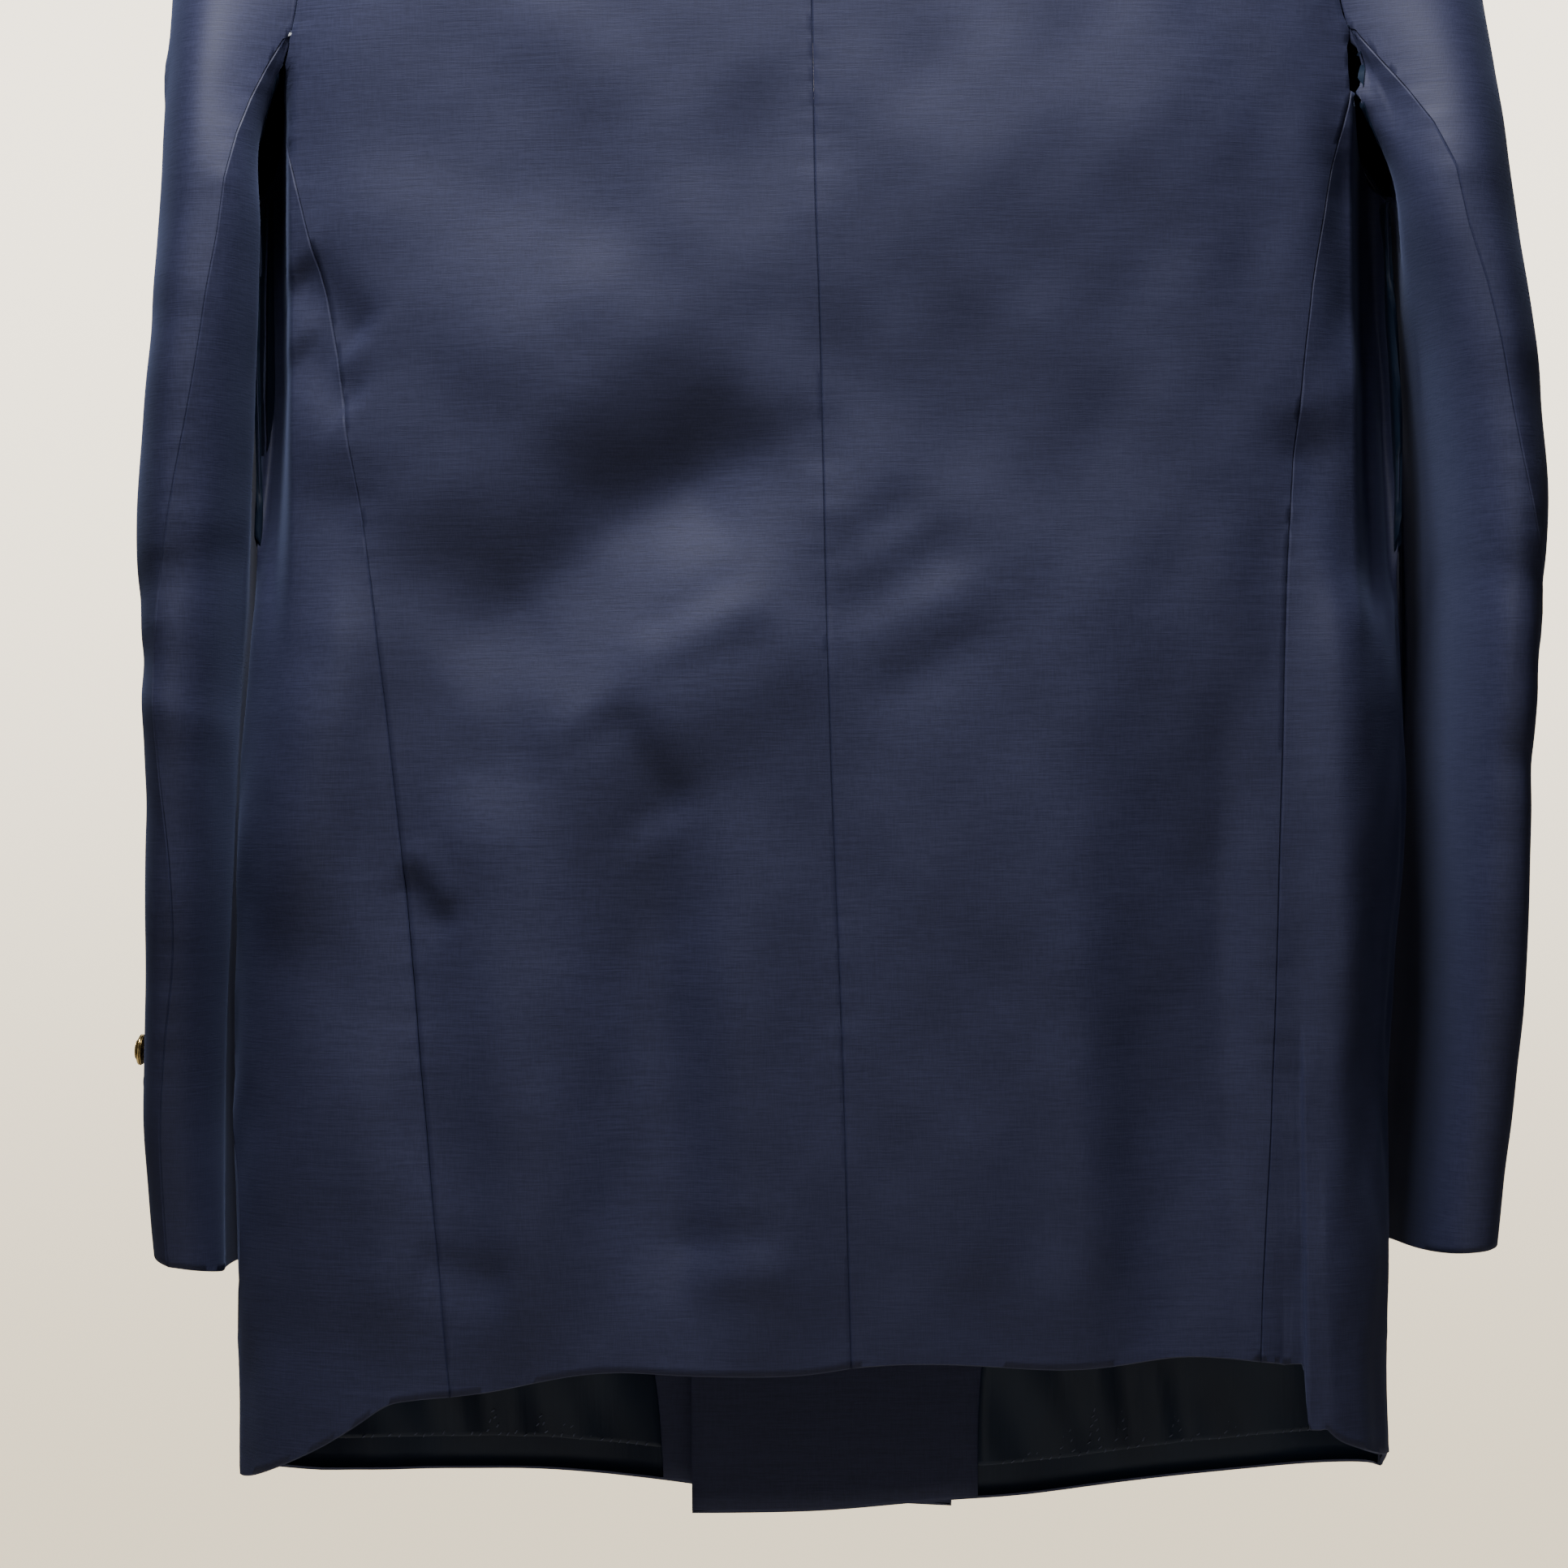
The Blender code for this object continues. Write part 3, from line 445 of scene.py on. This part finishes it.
def push_sleeve(word):
    side = 1 if word == "left" else -1
    pieces = [cloth[name + word] for name in ("top_sleeve_", "under_sleeve_")]
    levels, middles = middle_line(pieces)
    for piece in pieces:
        points, depth = measures_of(piece)
        x = points[:, 0] - np.interp(depth, levels, middles[:, 0])
        y = points[:, 1] - np.interp(depth, levels, middles[:, 1])
        turn = np.degrees(np.arctan2(side * x, y))
        folds = [(a * ARC, b, c * ARC, d, *rest) for a, b, c, d, *rest in SLEEVE_FOLDS[word]]
        rise = fold_height(turn * ARC, depth, folds) + quiet_waves(turn * ARC + 200, depth)
        rise = (rise + puckers(piece, points, depth)) * soft_step((depth - levels[0] + 20) / 60)
        rise = np.where(turn < -30, rise * 0.4, rise)
        out = np.stack([x, y, np.zeros_like(x)], axis=1)
        out /= np.maximum(np.linalg.norm(out, axis=1, keepdims=True), 1e-9)
        points += out * rise[:, None]
        inner = soft_step((6 - turn) / 36) * soft_step((turn + 160) / 60)
        points[:, 1] -= INNER_SINK[word] * inner * soft_step((depth - 240) / 120)
        place_points(piece, points * MM)


# %% [markdown]
# Sewing brings two borders together. Each point on one border moves halfway to the nearest place on
# the other, and the other does the same, so the seam closes without a slit.

# %% Sew two borders together
def nearest_on(points, starts, stops):
    """The nearest place to each point on any of the straight lines, and how far away it is."""
    along = stops - starts
    gap = points[:, None] - starts
    share = np.clip((gap * along).sum(axis=2) / (along**2).sum(axis=1), 0, 1)
    places = starts + along * share[..., None]
    apart = np.linalg.norm(points[:, None] - places, axis=2)
    best = apart.argmin(axis=1)
    row = np.arange(len(points))
    return places[row, best], apart[row, best]


def sew(first, second, reach=1.6):
    drawn = []
    for node, other in ((first, second), (second, first)):
        numbers, _ = border_of(cloth[node])
        _, edges = border_of(cloth[other])
        mine, theirs = points_of(cloth[node]), points_of(cloth[other])
        places, apart = nearest_on(mine[numbers], theirs[edges[:, 0]], theirs[edges[:, 1]])
        near = apart < reach * MM
        mine[numbers[near]] = (mine[numbers[near]] + places[near]) / 2
        drawn.append((node, mine, int(near.sum())))
    for node, points, _ in drawn:
        place_points(cloth[node], points)
    return [count for _, _, count in drawn]


# %% [markdown]
# Smoothing turns each lifted sheet into supple cloth, but it also draws in a curved edge, most of all
# round the armholes. We draw those edges out again to where they were cut, and let the cloth beside
# them follow.

# %% Cut a smooth sheet
cloth = {}
LONGEST_PULL = 12 * MM
CLOSE = 0.05 * MM


def hold_edges(piece, starts, stops, bottom=330.0, spread=24.0):
    """Draw a sheet's border back to where it was cut, above the bottom, and the cloth beside it too."""
    points = points_of(piece)
    numbers, _ = border_of(piece)
    places, _ = nearest_on(points[numbers], starts, stops)
    high = soft_step((bottom - NAPE / MM + points[numbers, 2] / MM) / 40)
    moves = (places - points[numbers]) * high[:, None]
    lengths = np.linalg.norm(moves, axis=1, keepdims=True)
    moves *= np.minimum(1, LONGEST_PULL / np.maximum(lengths, 1e-9))
    tree = KDTree(len(numbers))
    for row, number in enumerate(numbers):
        tree.insert(points[number], row)
    tree.balance()
    total = np.zeros_like(points)
    for row, point in enumerate(points):
        near = tree.find_n(point, NEIGHBOURS)
        share = soft_step(1 - near[0][2] / (spread * MM))
        if share > 0:
            weights = np.array([1 / (spot[2] + CLOSE) for spot in near])
            pulls = moves[[spot[1] for spot in near]]
            total[row] = share * (pulls * weights[:, None]).sum(axis=0) / weights.sum()
    place_points(piece, points + total)


def cut(node, outward, levels=3, held=False):
    """A smooth sheet of cloth for one cut piece, still without thickness."""
    piece = lift_sheet(node, node + "_cloth", outward)
    _, edges = border_of(piece)
    points = points_of(piece)
    starts, stops = points[edges[:, 0]], points[edges[:, 1]]
    kind = "PRESERVE_CORNERS"
    finish_modifier(piece, "SUBSURF", levels=levels, render_levels=levels, boundary_smooth=kind)
    if held:
        hold_edges(piece, starts, stops)
    cloth[node] = piece
    return piece


# %% [markdown]
# Where two pieces are sewn, the cloth turns in and leaves a fine dark line. At a hem it turns under
# in the same way. An inset adds a narrow border round the whole sheet, its outermost points are
# pushed in, and Solidify then gives the sheet its thickness.

# %% Turn the edges in and give the cloth its thickness
def turn_edges(piece, border=0.55, sink=0.8):
    pick(piece)
    bpy.ops.object.mode_set(mode="EDIT")
    bpy.ops.mesh.select_mode(type="FACE")
    bpy.ops.mesh.select_all(action="SELECT")
    bpy.ops.mesh.inset(thickness=border * MM, use_boundary=True, use_even_offset=False)
    bpy.ops.mesh.select_all(action="DESELECT")
    bpy.ops.object.mode_set(mode="OBJECT")
    shape = bmesh.new()
    shape.from_mesh(piece.data)
    shape.normal_update()
    for vertex in shape.verts:
        if vertex.is_boundary:
            vertex.co -= vertex.normal * sink * MM
    shape.to_mesh(piece.data)
    shape.free()


def area_of(piece):
    return sum(face.area for face in piece.data.polygons)


sheets = {}


def make_up(node, thick=1.5, sink=0.8, finish="wool", inside="lining"):
    """Turn the edges of a cut sheet, give it thickness and its finish, attach it to the root and hide its
    solid.
    """
    piece = cloth[node]
    turn_edges(piece, sink=sink)
    area = area_of(piece)
    piece.data.materials.append(FINISHES[finish])
    piece.data.materials.append(FINISHES[inside])
    other = 0 if inside == finish else 1
    finish_modifier(piece, "SOLIDIFY", thickness=thick * MM, offset=-1.0, material_offset=other)
    pick(piece)
    bpy.ops.object.shade_smooth_by_angle(angle=math.radians(50))
    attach(piece, "root")
    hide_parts(node)
    sheets[node] = (piece, area)


# %% [markdown]
# A finish is built from maths on coordinates. One small class wraps a socket, so that a pattern can
# be written as an ordinary sum; each operator adds the Math node that it needs. Colours are blended
# with Mix, and any other node comes from one method.

# %% Shader maths
class Tone:
    """One value in a material, which can be added, multiplied and blended."""

    def __init__(self, tree, socket):
        self.tree = tree
        self.socket = socket

    def node(self, kind, settings=None, output=0, **inputs):
        made = self.tree.nodes.new(kind)
        for key, value in (settings or {}).items():
            setattr(made, key, value)
        for key, value in inputs.items():
            where = made.inputs[int(key[1:])] if key[1:].isdigit() else made.inputs[key.replace("_", " ")]
            if isinstance(value, Tone):
                self.tree.links.new(value.socket, where)
            else:
                where.default_value = value
        return Tone(self.tree, made.outputs[output])

    def maths(self, operation, first, second=0.0, third=0.0):
        return self.node("ShaderNodeMath", {"operation": operation}, i0=first, i1=second, i2=third)

    def __add__(self, other):
        return self.maths("ADD", self, other)

    def __radd__(self, other):
        return self.maths("ADD", other, self)

    def __sub__(self, other):
        return self.maths("SUBTRACT", self, other)

    def __rsub__(self, other):
        return self.maths("SUBTRACT", other, self)

    def __mul__(self, other):
        return self.maths("MULTIPLY", self, other)

    def __rmul__(self, other):
        return self.maths("MULTIPLY", other, self)

    def __truediv__(self, other):
        return self.maths("DIVIDE", self, other)

    def between(self, low, high):
        """0 below low, 1 above high, and a soft step from one to the other."""
        soft = {"interpolation_type": "SMOOTHSTEP"}
        return self.node("ShaderNodeMapRange", soft, Value=self, From_Min=low, From_Max=high)

    def scaled(self, x, y, z):
        return self.node("ShaderNodeVectorMath", {"operation": "MULTIPLY"}, i0=self, i1=(x, y, z))

    def noise(self, detail=2.0, rough=0.5, scale=1.0):
        return self.node("ShaderNodeTexNoise", Vector=self, Scale=scale, Detail=detail, Roughness=rough)

    def blend(self, first, second):
        """The first colour where this is 0, and the second where it is 1."""
        return self.node("ShaderNodeMix", {"data_type": "RGBA"}, output=2, Factor=self, i6=first, i7=second)


def new_finish(name, roughness, metallic=0.0, **constants):
    """A material, its object coordinates, and its shader."""
    finish = bpy.data.materials.new(name)
    finish.use_nodes = True
    shader = finish.node_tree.nodes["Principled BSDF"]
    shader.inputs["Roughness"].default_value = roughness
    shader.inputs["Metallic"].default_value = metallic
    for key, value in constants.items():
        shader.inputs[key.replace("_", " ")].default_value = value
    start = Tone(finish.node_tree, None)
    place = start.node("ShaderNodeTexCoord", output=3)
    return finish, place, shader


def join_to(shader, name, tone):
    tone.tree.links.new(tone.socket, shader.inputs[name])


# %% [markdown]
# The wool is a fine plain weave. Its yarns are slightly uneven, so long thin slubs lie across the
# cloth as darker and lighter dashes, over a much finer grain. Stretched noise does both: it is long
# in x and y and very short in z, so the slubs lie level all round the body and the sleeves.

# %% The wool
def make_wool():
    wool, place, shader = new_finish("navy wool", 0.62, Sheen_Weight=0.10, Sheen_Roughness=0.4)
    shader.inputs["Sheen Tint"].default_value = (0.45, 0.55, 1.0, 1)
    shader.inputs["Specular IOR Level"].default_value = 0.3
    slubs = place.scaled(45, 45, 1300).noise(3.0, 0.55)
    threads = place.scaled(190, 190, 2100).noise(2.0, 0.55)
    ends = place.scaled(1700, 1700, 160).noise(1.0, 0.5)
    tone = place.scaled(7, 7, 5).noise(2.0, 0.5)
    weave = slubs * 0.4 + threads * 0.35 + ends * 0.25
    colour = weave.between(0.34, 0.66).blend((0.0150, 0.0172, 0.0450, 1), (0.0260, 0.0292, 0.0700, 1))
    colour = (tone.between(0.3, 0.7) * 0.35).blend(colour, (0.0165, 0.0186, 0.0470, 1))
    join_to(shader, "Base Color", colour)
    join_to(shader, "Roughness", 0.54 + weave * 0.2)
    relief = weave.node("ShaderNodeBump", Strength=0.3, Distance=0.0004, Height=weave)
    join_to(shader, "Normal", relief)
    return wool


# %% [markdown]
# The lining is a dark satin with a hint of green. It shines far more than the wool and shows its long
# floats only as a faint streak.

# %% The lining
def make_lining():
    lining, place, shader = new_finish("satin lining", 0.38, IOR=1.33)
    streaks = place.scaled(900, 900, 40).noise(2.0, 0.5)
    tone = place.scaled(18, 18, 18).noise(2.0, 0.5)
    colour = tone.between(0.3, 0.7).blend((0.006, 0.010, 0.022, 1), (0.010, 0.018, 0.036, 1))
    join_to(shader, "Base Color", colour)
    join_to(shader, "Roughness", 0.28 + streaks * 0.16)
    relief = streaks.node("ShaderNodeBump", Strength=0.15, Distance=0.0003, Height=streaks)
    join_to(shader, "Normal", relief)
    return lining


# %% [markdown]
# The buttons are polished gilt, a little uneven from handling. The hanger is oiled beech, whose rings
# are stretched along the arms, and its hook is bright steel wire. The stitches are twisted navy thread.

# %% Metal, wood and thread
def make_metal(name, dark, light, roughness):
    metal, place, shader = new_finish(name, roughness, metallic=1.0)
    wear = place.scaled(420, 420, 420).noise(3.0, 0.6)
    join_to(shader, "Base Color", wear.between(0.35, 0.65).blend(dark, light))
    join_to(shader, "Roughness", roughness - 0.05 + wear * 0.14)
    return metal


def make_wood():
    wood, place, shader = new_finish("oiled beech", 0.42, Coat_Weight=0.15)
    grain = place.scaled(14, 160, 160).noise(4.0, 0.6)
    flecks = place.scaled(120, 900, 900).noise(1.0, 0.5)
    mix = grain * 0.75 + flecks * 0.25
    colour = mix.between(0.35, 0.65).blend((0.36, 0.20, 0.10, 1), (0.52, 0.33, 0.18, 1))
    join_to(shader, "Base Color", colour)
    join_to(shader, "Roughness", 0.36 + mix * 0.16)
    return wood


def make_thread(name, colour):
    thread, place, shader = new_finish(name, 0.6, Sheen_Weight=0.2)
    twist = place.scaled(2600, 2600, 2600).noise(1.0, 0.5)
    dark = tuple(0.7 * part for part in colour[:3]) + (1,)
    join_to(shader, "Base Color", twist.blend(dark, colour))
    return thread


FINISHES = {
    "wool": make_wool(),
    "lining": make_lining(),
    "gold": make_metal("gilt", (0.62, 0.41, 0.14, 1), (0.90, 0.68, 0.30, 1), 0.24),
    "steel": make_metal("steel wire", (0.50, 0.50, 0.52, 1), (0.68, 0.68, 0.70, 1), 0.24),
    "wood": make_wood(),
    "thread": make_thread("navy thread", (0.060, 0.072, 0.130, 1)),
}
print("finishes:", sorted(FINISHES))

# %% [markdown]
# Now we cut every sheet. The body comes first: the two backs, the side panels that wrap round under
# the arms, and the two fronts. All share the same folds, so a fold runs on across a seam.

# %% Cut the body and the sleeves
for side, word in ((1, "left"), (-1, "right")):
    push_body(cut("back_" + word, (0, 1, 0), held=True))
    push_body(cut("side_" + word, (side, 0.15, 0), held=True))
    if word == "right":
        sharpen_fold(cloth["side_right"])
    push_body(cut("front_" + word, (0, -1, 0), levels=2, held=True))
    cut("top_sleeve_" + word, (side, 0, 0), held=True)
    cut("under_sleeve_" + word, (-side, 0, 0), held=True)
    push_sleeve(word)
print("sheets cut:", len(cloth))

# %% [markdown]
# Each seam of the coat joins two of these sheets: the centre back, the sides, the shoulders, the
# sleeves' own seams, and the armholes, where the sleeve's head is drawn in to the body.

# %% Sew the seams
print("centre back", sew("back_left", "back_right"))
for word in ("left", "right"):
    print(word, "back and side", sew("back_" + word, "side_" + word))
    print(word, "side and front", sew("side_" + word, "front_" + word))
    print(word, "shoulder", sew("back_" + word, "front_" + word, reach=5.0))
    print(word, "sleeve seams", sew("top_sleeve_" + word, "under_sleeve_" + word))
    for panel in ("back_", "side_", "front_"):
        for part in ("top_sleeve_", "under_sleeve_"):
            sew(panel + word, part + word, reach=3.2)

# %% [markdown]
# The facing and the lining lie inside each front, and show below the back's hem. The lining is cut a
# little full, so it stands off the front in small soft ripples.

# %% Cut the facings and linings
def ripple(piece):
    points, depth = measures_of(piece)
    x = points[:, 0]
    wave = np.sin(x / 5.3 + 1.7 * np.sin(x / 23) + depth / 38) * np.sin(depth / 19 + x / 31)
    low = soft_step((depth - 640) / 80)
    points[:, 1] += low * (0.9 + 0.9 * wave)
    place_points(piece, points * MM)


for word in ("left", "right"):
    cut("facing_" + word, (0, 1, 0), levels=2)
    ripple(cut("lining_" + word, (0, 1, 0), levels=3))
    print(word, "facing and lining", sew("facing_" + word, "lining_" + word, reach=3.0))

# %% [markdown]
# The lapels are the upper ends of the fronts turned back, the collar joins them round the neck, and
# the flaps and the welt lie on the fronts.

# %% Cut the lapels, the collar and the pockets
for word in ("left", "right"):
    cut("lapel_" + word, (0, -1, 0))
    cut("flap_" + word, (0, -1, 0), levels=2)
cut("chest_welt", (0, -1, 0), levels=2)
cut("collar", None)

# %% [markdown]
# With every seam closed, the sheets get their turned edges and their thickness.

# %% Make up every sheet
DOUBLE = ("lapel", "flap", "chest_welt", "collar")
for node in list(cloth):
    if node.startswith("facing"):
        make_up(node, thick=1.0, sink=0.4, inside="wool")
    elif node.startswith("lining"):
        make_up(node, thick=0.7, sink=0.3, finish="lining")
    else:
        make_up(node, inside="wool" if node.startswith(DOUBLE) else "lining")
print("sheets:", len(sheets), "faces:", sum(len(piece.data.polygons) for piece, _ in sheets.values()))

# %% [markdown]
# The lining's lower edge is slip-stitched to the turned-up hem by hand, so a row of small, slightly
# uneven stitches shows along it.

# %% The slip stitches
STRIP = 3.0
PITCH = 4.2
STITCH = (1.15, 0.26, 0.30)


def model_stitch():
    bpy.ops.mesh.primitive_uv_sphere_add(segments=10, ring_count=6, radius=1)
    stitch = bpy.context.object
    stitch.data.materials.append(FINISHES["thread"])
    bpy.ops.object.shade_smooth()
    return stitch


def lower_edge(node):
    """Points along the lower edge of a lining, from one side to the other."""
    points, depth = measures_of(sheets[node][0])
    x = points[:, 0]
    line = []
    for start in np.arange(x.min() + 6, x.max() - 6, STRIP):
        strip = np.flatnonzero((np.abs(x - start) < STRIP / 2) & (depth > 700))
        if len(strip):
            low = strip[depth[strip].argmax()]
            line.append((start, points[low, 1], points[low, 2]))
    return np.array(line)


def stitch_row(pattern, name, line):
    """One piece that holds a stitch at every pitch along the line, each tilted a little differently."""
    lengths = np.concatenate([[0], np.cumsum(np.linalg.norm(np.diff(line, axis=0), axis=1))])
    spots = np.arange(PITCH, lengths[-1] - PITCH, PITCH)
    spots += 0.5 * np.sin(spots * 1.7)
    middles = np.stack([np.interp(spots, lengths, line[:, axis]) for axis in range(3)], axis=1)
    shape = bmesh.new()
    for number, middle in enumerate(middles):
        before = len(shape.verts)
        shape.from_mesh(pattern.data)
        shape.verts.ensure_lookup_table()
        tilt = Matrix.Rotation(0.9 + 0.25 * math.sin(number * 2.3), 4, "Y")
        size = Matrix.Diagonal((*(Vector(STITCH) * MM), 1))
        place = Matrix.Translation(Vector(middle) * MM) @ tilt @ size
        for vertex in shape.verts[before:]:
            vertex.co = place @ vertex.co
    row = bpy.data.objects.new(name, pattern.data.copy())
    shape.to_mesh(row.data)
    shape.free()
    blazer.objects.link(row)
    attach(row, "root")
    return len(middles)


pattern = model_stitch()
for word in ("left", "right"):
    line = lower_edge("lining_" + word)
    line[:, 1] += 0.35
    line[:, 2] += 0.7
    print(word, "slip stitches:", stitch_row(pattern, "slip_stitches_" + word, line))
bpy.data.objects.remove(pattern, do_unlink=True)

# %% [markdown]
# A button is turned metal: a shallow dome inside a rolled rim, a fine groove ring, a flat back and a
# short shank. We model one at a radius of one millimetre, then copy it to each place at its own size.
# Its place and direction come from the solid: the middle of its points, and the one direction in which
# a turned shape spreads unlike the other two.

# %% The buttons
def model_button():
    parts = []
    bpy.ops.mesh.primitive_uv_sphere_add(segments=64, ring_count=24, radius=0.86, location=(0, 0, 0.46))
    bpy.context.object.scale = (1, 1, 0.34)
    parts.append(bpy.context.object)
    for major, minor, height in ((0.91, 0.09, 0.46), (0.60, 0.03, 0.668)):
        bpy.ops.mesh.primitive_torus_add(
            major_radius=major,
            minor_radius=minor,
            location=(0, 0, height),
            major_segments=64,
            minor_segments=14,
        )
        parts.append(bpy.context.object)
    for radius, depth, height in ((0.94, 0.10, 0.40), (0.28, 0.36, 0.19)):
        bpy.ops.mesh.primitive_cylinder_add(vertices=64, radius=radius, depth=depth, location=(0, 0, height))
        parts.append(bpy.context.object)
    bpy.ops.object.select_all(action="DESELECT")
    for part in parts:
        part.select_set(True)
    bpy.context.view_layer.objects.active = parts[0]
    bpy.ops.object.join()
    button = bpy.context.object
    bpy.ops.object.transform_apply(location=True, rotation=True, scale=True)
    bpy.ops.object.shade_smooth_by_angle(angle=math.radians(40))
    button.data.materials.append(FINISHES["gold"])
    return button


PATTERN_HEIGHT = 0.755
SLEEVE_MIDDLE = 0.265


def place_button(pattern, node):
    """A copy of the pattern where the solid button is, turned and sized like it."""
    solid = nodes[node]
    points = np.array([solid.matrix_world @ vertex.co for vertex in solid.data.vertices])
    centre = points.mean(axis=0)
    spread, ways = np.linalg.eigh(np.cov((points - centre).T))
    odd = 0 if spread[1] - spread[0] > spread[2] - spread[1] else 2
    axis = Vector(ways[:, odd])
    inside = math.copysign(SLEEVE_MIDDLE, centre[0]) if node.startswith("cuff") else centre[0]
    middle = Vector((inside, 0, centre[2]))
    if axis.dot(Vector(centre) - middle) < 0:
        axis.negate()
    heights = (points - centre) @ np.array(axis)
    base = Vector(centre) + axis * heights.min()
    across = points - centre - np.outer(heights, np.array(axis))
    radius = np.linalg.norm(across, axis=1).max()
    turn = axis.to_track_quat("Z", "Y").to_matrix().to_4x4()
    button = bpy.data.objects.new(node + "_metal", pattern.data.copy())
    stretch = Matrix.Diagonal((radius, radius, (heights.max() - heights.min()) / PATTERN_HEIGHT, 1))
    button.data.transform(Matrix.Translation(base) @ turn @ stretch)
    blazer.objects.link(button)
    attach(button, "root")
    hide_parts(node)


pattern = model_button()
buttons = sorted(node for node in nodes if "_button_" in node)
for node in buttons:
    place_button(pattern, node)
bpy.data.objects.remove(pattern, do_unlink=True)
print("buttons:", len(buttons))

# %% [markdown]
# The hanger and its hook are right as they are, so they only get a finish.

# %% The hanger
for node, finish in (("hanger", "wood"), ("hook", "steel")):
    for slot in nodes[node].material_slots:
        slot.material = FINISHES[finish]

# %% [markdown]
# The camera stands a metre and a half behind the blazer, level with its middle, and the picture takes
# in only the body from the shoulder blades down.

# %% The camera
bpy.ops.object.camera_add(location=(0.0147, 1.565, -0.610))
camera = bpy.context.object
camera.rotation_euler = (math.radians(90), math.radians(0.4), math.radians(180))
camera.data.sensor_width = 36
camera.data.lens = 36 * 4500 / 1932
bpy.context.scene.camera = camera

# %% [markdown]
# A soft light hangs close above the blazer's back and grazes it, so the cloth is brightest near the
# top and every fold shows. The room gives back a little light from behind the camera, and a window
# lights the front. The wall is only seen, and hardly lights the cloth. Its colour carries painted
# light: it is painted brighter towards the top and darker towards the bottom, as if lit from above.

# %% The lights, the air and the floor
def soft_light(name, place, aim, size, power):
    bpy.ops.object.light_add(type="AREA", location=place)
    light = bpy.context.object
    light.name = name
    light.data.size = size
    light.data.energy = power
    light.rotation_euler = (Vector(aim) - Vector(place)).to_track_quat("-Z", "Y").to_euler()


soft_light("ceiling light", (0.14, 0.44, 0.58), (0, 0.05, -0.35), 0.46, 38)
soft_light("room light", (0.25, 1.6, -1.0), (0, 0, -0.75), 1.0, 1.6)
soft_light("front light", (-0.4, -1.6, 0.7), (0, 0, -0.4), 1.2, 26)

world = bpy.data.worlds.new("pale room")
bpy.context.scene.world = world
world.use_nodes = True
air = Tone(world.node_tree, None)
direction = air.node("ShaderNodeTexCoord", output=0)
height = direction.node("ShaderNodeSeparateXYZ", output=2, Vector=direction)
# Painted light: the wall seen behind is painted brighter towards the top and darker towards the bottom, as
# if lit from above.
wall_with_painted_light = height.between(-0.22, 0.22).blend((0.78, 0.66, 0.47, 1), (1.62, 1.44, 1.14, 1))
seen = air.node("ShaderNodeLightPath", output=0)
background = world.node_tree.nodes["Background"]
world.node_tree.links.new(wall_with_painted_light.socket, background.inputs["Color"])
strength = seen * 2.1 + 0.030
world.node_tree.links.new(strength.socket, background.inputs["Strength"])

bpy.ops.mesh.primitive_circle_add(vertices=96, radius=2.2, fill_type="NGON", location=(0, 0, -1.6))
floor = bpy.context.object
floor.name = "floor"
paint, _, shader = new_finish("pale floor", 0.8)
shader.inputs["Base Color"].default_value = (0.72, 0.70, 0.66, 1)
floor.data.materials.append(paint)

# %% [markdown]
# Every sheet gets a flat size from the size it was cut to. The cloth hangs without stretching, so its
# flat area is what the finished sheet measures. The flat size allows for turnings and a little ease.

TURNINGS = 1.15
EASE = 1.02
SHORTEST_PIECE = 0.05
for node, (piece, area) in sheets.items():
    low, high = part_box(node)
    size = high - low
    length = max(size.z, SHORTEST_PIECE)
    flat = (area / length * TURNINGS, length * EASE)
